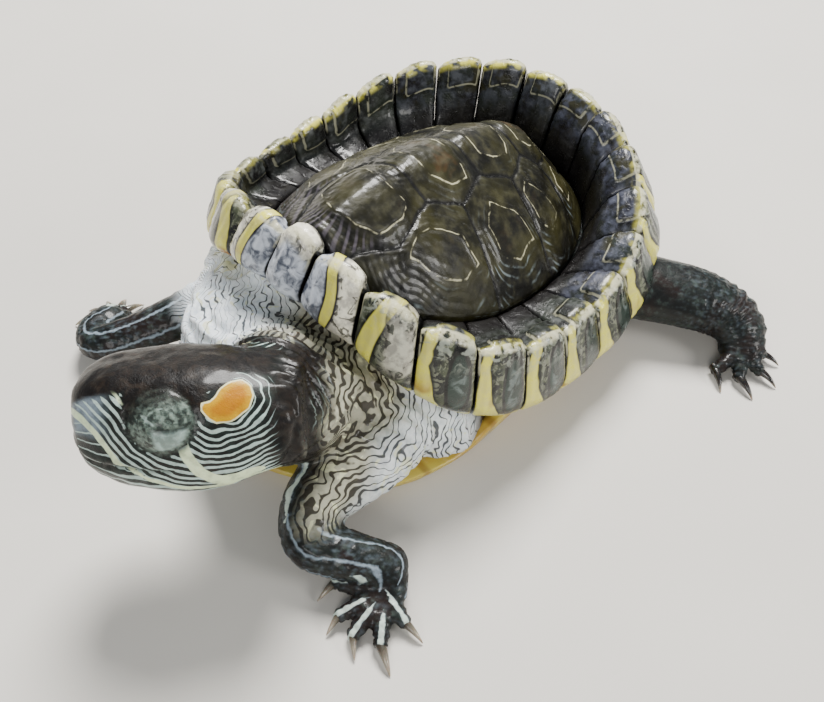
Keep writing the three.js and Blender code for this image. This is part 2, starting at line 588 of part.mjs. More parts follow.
const headPoint = (ahead, aside, up) => HEAD_REAR.clone()
  .addScaledVector(HEAD_AHEAD, ahead).addScaledVector(HEAD_LEFT, aside).addScaledVector(HEAD_UP, up);
function headRing([ahead, halfWidth, top, bottom], sides = 16) {
  return Array.from({ length: sides }, (_, j) => {
    const turn = 2 * Math.PI * (j + 0.5) / sides;
    const c = Math.cos(turn);
    const s = Math.sin(turn);
    const squareness = 2.3;
    const r = (Math.abs(c) ** squareness + Math.abs(s) ** squareness) ** (-1 / squareness);
    return headPoint(ahead, halfWidth * c * r, (s > 0 ? top : bottom) * s * r);
  });
}
const headBasis = new THREE.Matrix4().makeBasis(HEAD_AHEAD, HEAD_LEFT, HEAD_UP).setPosition(HEAD_REAR);
const headBox = (from, to) => {
  const size = to.clone().sub(from);
  const middle = from.clone().add(to).multiplyScalar(0.5);
  return toSolid(new THREE.BoxGeometry(size.x, size.y, size.z)
    .translate(middle.x, middle.y, middle.z).applyMatrix4(headBasis));
};
const v3 = (x, y, z) => new THREE.Vector3(x, y, z);
const wholeHead = toSolid(loft(HEAD_SECTIONS.map((s) => headRing(s))));
const jawSpace = headBox(v3(MOUTH.corner, -30, -30), v3(60, 30, MOUTH.height));
const jawWithGap = headBox(v3(MOUTH.corner - GAP, -30, -30), v3(60, 30, MOUTH.height + GAP));
const eyeball = (sign, radius) => {
  const at = headPoint(EYE.ahead, sign * EYE.aside, EYE.up);
  return toSolid(new THREE.SphereGeometry(radius, 10, 7).translate(at.x, at.y, at.z));
};
let skull = wholeHead.subtract(jawWithGap);
for (const [side, sign] of [['left', 1], ['right', -1]]) {
  skull = skull.subtract(eyeball(sign, EYE_RADIUS + GAP));
  add(`eye_${side}`, toGeometry(eyeball(sign, EYE_RADIUS)), finish.eye);
}
add('head', toGeometry(skull), finish.head);
add('jaw', toGeometry(wholeHead.intersect(jawSpace)), finish.head);

const NECK = [[1, -44, 21, 11, 9.5], [4, -58, 24, 11, 9.5], [11.5, -70, 32, 10.4, 9.6], [18, -79, 38.5, 10, 9]];
const neckWhole = largest(tube(NECK, 14, 8).subtract(trunkClearance).subtract(shellRoom));
const [neck] = part(neckWhole, HEAD_REAR.clone().addScaledVector(HEAD_AHEAD, -GAP), HEAD_AHEAD);
add('neck', toGeometry(neck), finish.head);

export default group;
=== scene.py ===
"""Looks of a red-eared slider turtle whose shell rim has curled up into a bowl round the dome.

Laid out as a Blender add-on and run as a script. All shape functions work in millimetres in the
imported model's frame (+Z up, the animal faces -Y, its left side is +X); meshes are in metres.
"""
import math

import bmesh
import bpy
import numpy as np
from mathutils import Matrix, Vector


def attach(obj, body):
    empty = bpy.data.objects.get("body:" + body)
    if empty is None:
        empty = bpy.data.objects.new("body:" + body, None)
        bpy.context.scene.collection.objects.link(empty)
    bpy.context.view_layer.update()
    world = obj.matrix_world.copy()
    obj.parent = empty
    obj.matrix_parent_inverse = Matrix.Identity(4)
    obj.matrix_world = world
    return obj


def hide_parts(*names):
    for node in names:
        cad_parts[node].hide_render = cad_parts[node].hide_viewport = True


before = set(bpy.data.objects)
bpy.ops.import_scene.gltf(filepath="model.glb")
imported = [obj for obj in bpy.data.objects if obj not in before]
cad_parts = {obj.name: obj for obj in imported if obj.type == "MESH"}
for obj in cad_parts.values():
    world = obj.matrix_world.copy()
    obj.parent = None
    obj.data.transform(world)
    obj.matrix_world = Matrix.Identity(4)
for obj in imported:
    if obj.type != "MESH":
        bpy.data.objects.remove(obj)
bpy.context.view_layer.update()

bl_info = {
    "name": "Red-eared slider with a curled shell rim",
    "version": (1, 0, 0),
    "blender": (4, 5, 0),
    "location": "3D View > Sidebar > Turtle",
    "description": "Builds a life-size still model of a red-eared slider, piece by piece",
    "category": "Object",
}

MM = 0.001                       # a millimetre in the metres of Blender's meshes

# ------------------------------------------------------------------ sizes, in millimetres
SHELL_CENTRE_Y = -2.0
RIM_HALF_WIDTH = {1: 45.2, -1: 44.0}
RIM_HALF_LENGTH = {"front": 48.0, "rear": 49.8}
RIM_SQUARE = (3.2, 1.95)         # exponents of the rim's oval, at its front and at its rear
NUCHAL_HALF_ARC = 4.6
DOME_HALF_LENGTH = 42.5
DOME_HALF_WIDTH = {1: 30.0, -1: 33.0}
DOME_CENTRE_Y = -3.5
DOME_SQUARENESS = 2.4
DOME_SKIRT = 2.6                 # how far the dome's edge drops before the underside closes
WALL = 4.0                       # how thick the rim is at its base
# [share of the way from the front to the rear of the shell, millimetres], 1 left and -1 right
CREST_HEIGHT = {
    1: [(0, 50.6), (0.1, 48.4), (0.2, 43), (0.3, 35), (0.4, 29), (0.5, 26.5), (0.6, 27.5),
        (0.7, 32), (0.8, 36.5), (0.9, 39.5), (1, 39.5)],
    -1: [(0, 50.6), (0.1, 47), (0.2, 42), (0.3, 35.5), (0.4, 32.5), (0.5, 32.5), (0.6, 34),
         (0.7, 37), (0.8, 39), (0.9, 40.5), (1, 39.5)],
}
BASE_HEIGHT = [(0, 38), (0.1, 34), (0.2, 24), (0.3, 14.5), (0.4, 9), (0.52, 7.2), (0.6, 9.5),
               (0.68, 15), (0.78, 19.5), (1, 22)]
BASE_OUTSET = [(0, 4.5), (0.2, 3.2), (0.4, 3), (0.52, 3.4), (0.7, 5), (1, 6)]
LEDGE_WIDTH = {1: [(0, 3), (0.2, 4), (0.38, 6.5), (0.5, 8), (0.75, 7.5), (1, 5.5)],
               -1: [(0, 3), (0.2, 3), (0.5, 2.5), (0.8, 3), (1, 5.5)]}
LEDGE_DROP = {1: [(0, 3), (0.2, 4), (0.4, 3), (0.6, 2.5), (0.8, 3.5), (1, 6)],
              -1: [(0, 3), (0.2, 6), (0.4, 10), (0.75, 10), (1, 6)]}
VALLEY_HEIGHT = [(0, 45.5), (0.1, 39.5), (0.2, 33), (0.3, 28), (0.4, 24.5), (0.55, 21),
                 (0.75, 19), (1, 21)]
# [y, height of the dome's ridge]
KEEL_HEIGHT = [(-46, 49.5), (-27, 52), (-6, 49.3), (13, 44), (24, 38.5), (32, 29.5), (39, 21.5)]
KEEL_BLUNT = 0.13                # how far the keel's ridge is rounded, as a share of the half-width
# [share of the way across a rim plate, how much the crest is raised there]
SCALLOP = [(0, -1.2), (0.35, 0), (0.8, 0.6), (1, -0.4)]
# [y, half-width, height of the side edge, how far that edge hangs out]
PLASTRON = [(-75, 3, 2.6, 0.6), (-73.5, 9, 3, 0.8), (-70, 17, 3, 0.8), (-63, 29, 3, 0.8),
            (-54, 35.5, 3, 0.8), (-45, 38.8, 3, 0.8), (-38, 40.2, 3.2, 0.8), (-33, 40.6, 6, 1.2),
            (-22, 41, 9.2, 2.2), (-8, 41.2, 7, 2.6), (6, 41, 6.6, 2.6), (14, 40, 6.4, 2.2),
            (19, 34, 3.4, 0.8), (28, 30, 3.2, 0.8), (36, 24, 3, 0.8), (41, 14, 2.8, 0.8),
            (42.5, 4, 2.4, 0.6)]
# limb stations [x, y, z, half-width, half-height], palm [x, y, z, half-width], claw tips, and the
# digits' ends where these aren't simply a claw's length short of the tips
LIMBS = {
    "foreleg_left": dict(
        nodes=("upper_arm_left", "forearm_left", "hand_left"),
        path=[(24, -42, 13, 12, 7.5), (29, -58, 13.5, 9.5, 8), (28, -73, 11, 7.6, 6.8),
              (32.5, -80.6, 8.4, 6, 5.6), (40.5, -77.4, 7.2, 5.4, 4.8), (47.6, -73, 5.6, 5, 4.2)],
        palm=(50.6, -77.4, 3.4, 5.2),
        ends=[(40.9, -81.9), (46.4, -86.3), (51.2, -87.4), (56.6, -85), (57.2, -78.4)],
        tips=[(40.6, -86.8), (47, -90.6), (54.6, -90.4), (61.8, -87.8), (62.2, -78.6)]),
    "foreleg_right": dict(
        nodes=("upper_arm_right", "forearm_right", "hand_right"),
        path=[(-24, -42, 13, 11, 7.5), (-27, -54, 13.5, 8, 6.6), (-31.5, -63, 11.5, 6, 5.2),
              (-37, -72.5, 8.6, 5, 4.4), (-42.5, -79, 6.6, 4.6, 4.1), (-47, -76.5, 5.6, 4.6, 3.8),
              (-48, -71.5, 4.8, 4.6, 3.5)],
        palm=(-50, -69.4, 2.4, 5),
        tips=[(-56.5, -77.6), (-58, -72.5), (-57.5, -67.5), (-54.5, -63.5), (-49.8, -61.5)]),
    "hindleg_left": dict(
        nodes=("thigh_left", "shank_left", "foot_left"),
        path=[(33, 20, 12, 12, 8), (45, 27, 11.2, 9.6, 7.8), (57, 34, 10.2, 8.8, 7.4),
              (65, 37.5, 8.2, 7.8, 6.4), (71, 37, 5.8, 7, 5.2)],
        palm=(73.6, 32.5, 3.6, 6.8),
        ends=[(71.2, 24.2), (77, 26.2), (79.9, 32), (77.8, 37.8)],
        tips=[(75.5, 20.4), (82.6, 24), (85.2, 31.5), (82.4, 38.6)]),
    "hindleg_right": dict(
        nodes=("thigh_right", "shank_right", "foot_right"),
        path=[(-33, 20, 13, 12, 8), (-44, 27, 13, 9.5, 8.2), (-52, 34, 11, 7.8, 7),
              (-58, 35, 8, 6.4, 5.6), (-61, 31, 5.4, 5.6, 4.6)],
        palm=(-63.5, 26, 3.1, 6.6),
        tips=[(-61, 13.5), (-67, 14.5), (-71.5, 19.5), (-73, 26.5)]),
}
# the same kind of stations for the tail, the neck and the folds round it
TAIL = [(0, 38, 11, 7, 6), (1, 52, 8, 5, 4.6), (5, 62, 4.4, 3.4, 3.4), (12, 69, 2.2, 2.2, 2.2),
        (18.6, 72, 1.2, 0.8, 0.9)]
NECK = [(1, -44, 21, 11, 9.5), (4, -58, 24, 11, 9.5), (11.5, -70, 32, 10.4, 9.6),
        (18, -79, 38.5, 10, 9)]
# loose skin that hangs from the rim's front edge to the neck and the shoulders
COLLAR = [(0, -40, 19, 37, 13.5), (3, -52, 18.5, 31, 14), (8, -61, 20, 24, 14), (13, -69, 26, 15.5, 13),
          (16.5, -75.5, 33, 10.6, 10)]
HEAD_REAR = np.array([18.0, -79.0, 38.5])
HEAD_AHEAD = np.array([-0.71, -0.704, -0.06])
HEAD_ROLL = math.radians(25)
# [distance from the occiput, half-width, height above the axis, depth below it]
HEAD_SECTIONS = [(-9, 8.4, 7.6, 8.4), (-4.5, 10.2, 9.2, 9.8), (0, 10.9, 10.6, 11.2), (5, 12.4, 11.9, 13),
                 (12, 13, 12.5, 13.8), (18, 12.4, 12.4, 13.2), (24, 11, 12, 11.9), (28, 9.3, 10.9, 10.2),
                 (30.4, 7.6, 9.3, 8.6), (31.6, 5.6, 7.4, 6.6), (32.2, 3, 4.6, 4)]
EYE_PLACE = (14.0, 8.6, 3.8)     # ahead, aside, up in the head's own frame
EYE_RADIUS = 4.6
EYE_LOOK = (0.05, 0.86, 0.5)     # the way the left eye faces in that frame
CLAW_LENGTH = {"foreleg": 5.4, "hindleg": 5.0}
CLAW_SEAT = 1.2                  # how far a claw's root sits inside its digit
CLAW_HEIGHT = 1.95               # how high the roots lie over the floor
# where the camera stands, in metres, and which ways its picture's right and bottom edges face
CAMERA_PLACE = (0.09398, -0.13125, 0.170)
CAMERA_RIGHT = (0.74552, 0.66429, 0.05401)
CAMERA_DOWN = (0.54538, -0.56147, -0.62235)


# ------------------------------------------------------------------ numbers and curves
def along(stations, at, column=1):
    """Smooth curve through (position, value, ...) stations, for one number or an array."""
    x = np.array([s[0] for s in stations], float)
    y = np.array([s[column] for s in stations], float)
    lo = np.maximum(np.arange(len(x)) - 1, 0)
    hi = np.minimum(np.arange(len(x)) + 1, len(x) - 1)
    slope = (y[hi] - y[lo]) / (x[hi] - x[lo])
    at = np.clip(np.asarray(at, float), x[0], x[-1])
    i = np.clip(np.searchsorted(x, at, side="right") - 1, 0, len(x) - 2)
    h = x[i + 1] - x[i]
    t = (at - x[i]) / h
    return ((1 + 2 * t) * (1 - t) ** 2 * y[i] + t * (1 - t) ** 2 * h * slope[i]
            + t * t * (3 - 2 * t) * y[i + 1] + t * t * (t - 1) * h * slope[i + 1])


def smooth(low, high, at):
    """0 at low, 1 at high and an S-curve between them; low may be the larger one."""
    t = np.clip((at - low) / (high - low), 0, 1)
    return t * t * (3 - 2 * t)


def bell(x, width):
    return np.exp(-(x / width) ** 2)


def wave(x, period):
    return np.cos(x * 2 * np.pi / period)


def sawtooth(x, top):
    """Ridges one apart that rise up to a share of their length and then fall."""
    step = x - np.floor(x)
    return smooth(0, top, step) - smooth(top, 1, step)


def unit(v):
    return v / np.maximum(np.linalg.norm(v, axis=-1, keepdims=True), 1e-9)


def lattice(cells, seed):
    """Repeatable pseudo-random numbers from 0 to 1 for whole-number cells."""
    c = cells.astype(np.int64)
    h = (c[..., 0] * 374761393 + c[..., 1] * 668265263 + c[..., 2] * 2147483647 + seed * 974711) & 0x7FFFFFFF
    h = ((h ^ (h >> 13)) * 1274126177) & 0x7FFFFFFF
    return ((h ^ (h >> 16)) & 0xFFFFF) / float(0xFFFFF)


def noise(points, size, seed=0):
    """Smooth noise from -1 to 1 whose lumps are about size millimetres across."""
    p = np.asarray(points, float) / size
    base = np.floor(p)
    f = p - base
    f = f * f * (3 - 2 * f)
    total = np.zeros(p.shape[:-1])
    for corner in range(8):
        step = np.array([corner & 1, (corner >> 1) & 1, (corner >> 2) & 1])
        weight = np.prod(np.where(step, f, 1 - f), axis=-1)
        total += weight * lattice(base + step, seed)
    return total * 2 - 1


def cells(u, v, size, seed=0):
    """Distance to the nearest and the next cell centre of a jittered grid, in millimetres."""
    p = np.stack([u / size, v / size], -1)
    base = np.floor(p)
    best = np.full(p.shape[:-1], 9.0)
    second = best.copy()
    for i in (-1, 0, 1):
        for j in (-1, 0, 1):
            c = base + (i, j)
            key = np.concatenate([c, np.zeros(c.shape[:-1] + (1,))], -1)
            centre = c + 0.5 + 0.55 * np.stack([lattice(key, seed) - 0.5, lattice(key, seed + 7) - 0.5], -1)
            d = np.linalg.norm(p - centre, axis=-1)
            second = np.where(d < best, best, np.minimum(second, d))
            best = np.minimum(best, d)
    return best * size, second * size


def line_distance(px, py, points):
    """Distance from each place to a line through a few points."""
    best = np.full(np.shape(px), 1e9)
    for (ax, ay), (bx, by) in zip(points[:-1], points[1:]):
        dx, dy = bx - ax, by - ay
        t = np.clip(((px - ax) * dx + (py - ay) * dy) / (dx * dx + dy * dy + 1e-12), 0, 1)
        best = np.minimum(best, np.hypot(px - ax - t * dx, py - ay - t * dy))
    return best


def outline_distance(px, py, polygon):
    """Signed distance to a closed outline, positive inside."""
    inside = np.zeros(np.shape(px), bool)
    closed = list(polygon) + [polygon[0]]
    for (ax, ay), (bx, by) in zip(closed[:-1], closed[1:]):
        if ay == by:
            continue
        crosses = ((ay > py) != (by > py)) & (px < (bx - ax) * (py - ay) / (by - ay) + ax)
        inside ^= crosses
    d = line_distance(px, py, closed)
    return np.where(inside, d, -d)


# ------------------------------------------------------------------ meshes and nodes
def read_points(mesh):
    co = np.empty(len(mesh.vertices) * 3)
    mesh.vertices.foreach_get("co", co)
    return co.reshape(-1, 3) * 1000


def read_normals(mesh):
    no = np.empty(len(mesh.vertices) * 3, np.float32)
    mesh.vertex_normals.foreach_get("vector", no)
    return no.reshape(-1, 3).astype(float)


def write_points(mesh, points):
    mesh.vertices.foreach_set("co", (points * MM).astype(np.float32).ravel())
    mesh.update()


def store(mesh, attributes):
    """Keeps one number for each vertex under each attribute's name."""
    for key, values in attributes.items():
        layer = mesh.attributes.new(key, "FLOAT", "POINT")
        layer.data.foreach_set("value", np.asarray(values, np.float32).ravel())


def place(name, data):
    """Puts a mesh, a lamp or a lens into the scene as a new object."""
    piece = bpy.data.objects.new(name, data)
    bpy.context.scene.collection.objects.link(piece)
    return piece


def grown_mesh(seed):
    """The mesh that a seed object's modifiers make; the seed itself goes."""
    mesh = bpy.data.meshes.new_from_object(seed.evaluated_get(bpy.context.evaluated_depsgraph_get()))
    old = seed.data
    bpy.data.objects.remove(seed)
    bpy.data.meshes.remove(old)
    return mesh


def make_piece(name, points, faces, attributes=None, smooth_faces=True):
    """A mesh object at the origin from points in millimetres."""
    mesh = bpy.data.meshes.new(name)
    mesh.from_pydata((np.asarray(points, float) * MM).tolist(), [], faces)
    store(mesh, attributes or {})
    mesh.polygons.foreach_set("use_smooth", [smooth_faces] * len(mesh.polygons))
    mesh.update()
    return place(name, mesh)


def tube_faces(rows, columns, first=0):
    """Quads of a tube of closed rings, with a fan at each end whose middles come last."""
    faces = []
    for k in range(rows - 1):
        a = first + k * columns
        for i in range(columns):
            j = (i + 1) % columns
            faces.append((a + i, a + j, a + columns + j, a + columns + i))
    head, tail = first + rows * columns, first + rows * columns + 1
    last = first + (rows - 1) * columns
    for i in range(columns):
        j = (i + 1) % columns
        faces.append((head, first + j, first + i))
        faces.append((tail, last + i, last + j))
    return faces


def with_ends(rings):
    """Ring points as one list, followed by the middle of the first and the last ring."""
    return np.concatenate([rings.reshape(-1, rings.shape[-1]), rings[:1].mean(1), rings[-1:].mean(1)])


def values_with_ends(values):
    """The same for one number at each ring point."""
    return with_ends(values[..., None])[:, 0]


def turned_out(piece):
    """Turns a closed mesh so that its faces point out."""
    mesh = piece.data
    mesh.calc_loop_triangles()
    tri = np.empty(len(mesh.loop_triangles) * 3, int)
    mesh.loop_triangles.foreach_get("vertices", tri)
    a, b, c = read_points(mesh)[tri.reshape(-1, 3)].transpose(1, 0, 2)
    if np.einsum("ij,ij->", a, np.cross(b, c)) < 0:
        mesh.flip_normals()
    return piece


def fix_islands(piece):
    """Turns each closed body of a mesh so that its faces point out."""
    work = bmesh.new()
    work.from_mesh(piece.data)
    bmesh.ops.recalc_face_normals(work, faces=work.faces)
    work.to_mesh(piece.data)
    work.free()
    return piece


def linear(hex_colour):
    """An sRGB hex colour as linear red, green, blue and alpha."""
    channels = [int(hex_colour[i:i + 2], 16) / 255 for i in (1, 3, 5)]
    return [c / 12.92 if c <= 0.04045 else ((c + 0.055) / 1.055) ** 2.4 for c in channels] + [1.0]


def add_node(tree, kind, inputs=None, **settings):
    """Adds a node with its settings; each input is a value or another node's output."""
    node = tree.nodes.new(kind)
    for key, value in settings.items():
        setattr(node, key, value)
    for key, value in (inputs or {}).items():
        if isinstance(value, bpy.types.NodeSocket):
            tree.links.new(value, node.inputs[key])
        else:
            node.inputs[key].default_value = value
    return node


class Shade:
    """A material's node tree, with short methods for the nodes that repeat."""

    def __init__(self, name):
        self.material = bpy.data.materials.new(name)
        self.material.use_nodes = True
        self.tree = self.material.node_tree
        self.tree.nodes.clear()
        self.where = self.add("ShaderNodeTexCoord").outputs["Object"]

    def add(self, kind, inputs=None, **settings):
        return add_node(self.tree, kind, inputs, **settings)

    def value(self, attribute):
        return self.add("ShaderNodeAttribute", attribute_name=attribute).outputs["Fac"]

    def math(self, operation, a, b=0.0, c=0.0, clamp=False):
        return self.add("ShaderNodeMath", {0: a, 1: b, 2: c}, operation=operation, use_clamp=clamp).outputs[0]

    def times(self, a, b):
        return self.math("MULTIPLY", a, b)

    def plus(self, a, b):
        return self.math("ADD", a, b)

    def ramp(self, value, low, high, a=0.0, b=1.0):
        """value mapped smoothly from low..high to a..b."""
        return self.add("ShaderNodeMapRange", {0: value, 1: low, 2: high, 3: a, 4: b},
                        interpolation_type="SMOOTHSTEP").outputs[0]

    def noise(self, millimetres, detail, distortion=0.0):
        return self.add("ShaderNodeTexNoise", {
            "Vector": self.where, "Scale": 1000.0 / millimetres, "Detail": detail,
            "Roughness": 0.55, "Distortion": distortion}).outputs[0]

    def mix(self, share, a, b):
        """Colour a with b over it; each is an output, a hex colour or four linear numbers."""
        a, b = (linear(c) if isinstance(c, str) else c for c in (a, b))
        node = self.add("ShaderNodeMix", {0: share, 6: a, 7: b}, data_type="RGBA", clamp_factor=True)
        return node.outputs[2]

    def bump(self, height, millimetres, strength):
        inputs = {"Height": height, "Distance": millimetres * MM, "Strength": strength}
        return self.add("ShaderNodeBump", inputs).outputs[0]

    def finish(self, **sockets):
        shader = self.add("ShaderNodeBsdfPrincipled", sockets)
        self.add("ShaderNodeOutputMaterial", {"Surface": shader.outputs[0]})
        return self.material


# ------------------------------------------------------------------ the shell's shape
def oval(turn, half_width, half_length, exponent):
    """Radius of an oval whose corners grow squarer with the exponent; turn 0 is its length."""
    across = np.abs(np.sin(turn) / half_width) ** exponent
    lengthwise = np.abs(np.cos(turn) / half_length) ** exponent
    return (across + lengthwise) ** (-1 / exponent)


def crest_radius(bearing):
    """Radius of the rim's crest; bearing 0 is the front, +90 degrees the left side."""
    rearward = (1 - np.cos(bearing)) / 2
    exponent = RIM_SQUARE[0] + (RIM_SQUARE[1] - RIM_SQUARE[0]) * rearward
    width = np.where(np.sin(bearing) >= 0, RIM_HALF_WIDTH[1], RIM_HALF_WIDTH[-1])
    length = np.where(np.cos(bearing) > 0, RIM_HALF_LENGTH["front"], RIM_HALF_LENGTH["rear"])
    return oval(bearing, width, length, exponent)


TURNS = np.linspace(0, np.pi, 721)
_crest = crest_radius(TURNS)[:, None] * np.stack([np.sin(TURNS), np.cos(TURNS)], 1)
CREST_RUN = np.concatenate([[0], np.cumsum(np.linalg.norm(np.diff(_crest, axis=0), axis=1))])


def share_at(bearing):
    """Share of the way along the crest from the front to the rear."""
    turn = np.abs(np.arctan2(np.sin(bearing), np.cos(bearing)))
    return np.interp(turn, TURNS, CREST_RUN / CREST_RUN[-1])


def by_side(tables, share, bearing):
    return np.where(np.sin(bearing) >= 0, along(tables[1], share), along(tables[-1], share))


def dome_edge(bearing):
    """Where the dome's edge lies under a bearing of the rim."""
    r = crest_radius(bearing)
    x, y = r * np.sin(bearing), SHELL_CENTRE_Y - r * np.cos(bearing)
    own = np.arctan2(x, DOME_CENTRE_Y - y)
    width = np.where(np.sin(own) >= 0, DOME_HALF_WIDTH[1], DOME_HALF_WIDTH[-1])
    r = oval(own, width, DOME_HALF_LENGTH, DOME_SQUARENESS)
    return r * np.sin(own), DOME_CENTRE_Y - r * np.cos(own)


def rim_slice(bearing, lift=0.0):
    """The nine corners (radius, height) of the rim's upright slice at each bearing."""
    share = share_at(bearing)
    crest = by_side(CREST_HEIGHT, share, bearing) + lift
    base = along(BASE_HEIGHT, share)
    radius = crest_radius(bearing)
    foot = radius + along(BASE_OUTSET, share)
    valley = along(VALLEY_HEIGHT, share)
    ex, ey = dome_edge(bearing)
    inner = np.hypot(ex, ey - SHELL_CENTRE_Y) + 0.6
    ledge = np.maximum(radius - by_side(LEDGE_WIDTH, share, bearing), inner + 0.4)
    step = np.maximum(crest - by_side(LEDGE_DROP, share, bearing), valley + 1)
    corners = [
        (foot, base), (foot + 1.6, base + (crest - base) * 0.35),
        (foot + (radius - foot) * 0.75 + 1.2, base + (crest - base) * 0.75),
        (radius + 0.5, crest - 0.7), (radius - 0.7, crest), (ledge, step),
        (inner, valley), (inner, valley - 3), (foot - WALL, base)]
    return np.stack([np.stack(np.broadcast_arrays(r, z), -1) for r, z in corners], -2)


def dome_half_width(y, side):
    """Half the dome's width at y; side is 1 left and -1 right."""
    share = np.minimum(np.abs(y - DOME_CENTRE_Y) / DOME_HALF_LENGTH, 1)
    width = np.where(side > 0, DOME_HALF_WIDTH[1], DOME_HALF_WIDTH[-1])
    return width * (1 - share ** DOME_SQUARENESS) ** (1 / DOME_SQUARENESS)


def dome_height(x, y):
    """Height of the smooth dome, before any relief."""
    side = np.where(x >= 0, 1, -1)
    width = np.maximum(dome_half_width(y, side), 0.01)
    t = np.clip(np.abs(x) / width, 0, 1)
    edge = along(VALLEY_HEIGHT, share_at(np.arctan2(side * width, SHELL_CENTRE_Y - y)))
    blunt = np.sqrt(t ** 2 + KEEL_BLUNT ** 2) - KEEL_BLUNT * (1 - t)
    return edge + (along(KEEL_HEIGHT, y) - edge) * (1 - 0.74 * blunt - 0.26 * blunt ** 4)


# Scutes of the dome's left half: outline, and the areola that its growth rings grow round.
KEEL_SEAMS = [-46, -21, -2, 16, 28, 38.6]
SEAM_HALF = [6.5, 9, 8.5, 8, 7, 7]
WIDE = [(12, -33), (12, -12), (12, 7), (11, 21), (10, 33)]
COSTAL_EDGE = [-44.5, -17, 5, 21, 38.4]
VERTEBRAL_AREOLA = [
    [(0, -39.5), (4.4, -38.5), (8.7, -35.4), (8.8, -29), (7.6, -25.6), (4, -26), (0, -27.3)],
    [(0, -16.4), (5.4, -16.2), (8.6, -12.4), (8.6, -7), (6.4, -5.6), (0, -6.6)],
    [(0, 1.6), (5.4, 1.8), (7.6, 5), (7.6, 10), (5.4, 12.2), (0, 12.6)],
    [(0, 18.2), (5, 18.4), (6.8, 21.4), (6.4, 24.6), (0, 25.4)],
    [(0, 30), (4.6, 30.2), (6.4, 33), (5.4, 36), (0, 36.6)]]
COSTAL_AREOLA = [
    [(13.4, -24.4), (17.2, -18), (22.6, -17.6), (23.2, -22.6), (20.7, -28), (15, -33), (12.8, -28)],
    [(14.4, -4.6), (17.8, 0.8), (23.6, 3), (25.4, -4.4), (23.6, -9.8), (18.4, -9.6)],
    [(13.6, 10.4), (17, 14.6), (21.6, 15.6), (24, 11.4), (22, 7.6), (16, 7.6)],
    [(11.6, 24.6), (14, 28), (17.4, 27.8), (20, 24.2), (16.6, 22.2)]]


def dome_scutes():
    """(outline, areola) of the thirteen dome scutes, in millimetres."""
    scutes = []
    for k in range(5):
        a, b, (wx, wy) = SEAM_HALF[k], SEAM_HALF[k + 1], WIDE[k]
        front, rear = KEEL_SEAMS[k], KEEL_SEAMS[k + 1]
        half = [(a, front if k else -45.4), (wx, wy), (b, rear if k < 4 else 39)]
        outline = half + [(-x, y) for x, y in half[::-1]]
        areola = VERTEBRAL_AREOLA[k]
        scutes.append((outline, areola + [(-x, y) for x, y in areola[::-1] if x > 0]))
    for side in (1, -1):
        stretch = DOME_HALF_WIDTH[side] / DOME_HALF_WIDTH[1]
        for k in range(4):
            inner = [WIDE[k], (SEAM_HALF[k + 1], KEEL_SEAMS[k + 1]), WIDE[k + 1]]
            if k == 0:
                inner.insert(0, (SEAM_HALF[0], -45.4))
            if k == 3:
                inner.append((SEAM_HALF[5], 39))
            ys = np.linspace(COSTAL_EDGE[k + 1], COSTAL_EDGE[k], 7)
            outer = [(float(dome_half_width(y, side)) + 1.5, float(y)) for y in ys]
            outline = [(side * x, y) for x, y in inner + outer]
            areola = [(side * (x + (stretch - 1) * max(x - 12, 0)), y) for x, y in COSTAL_AREOLA[k]]
            scutes.append((outline, areola))
    return scutes


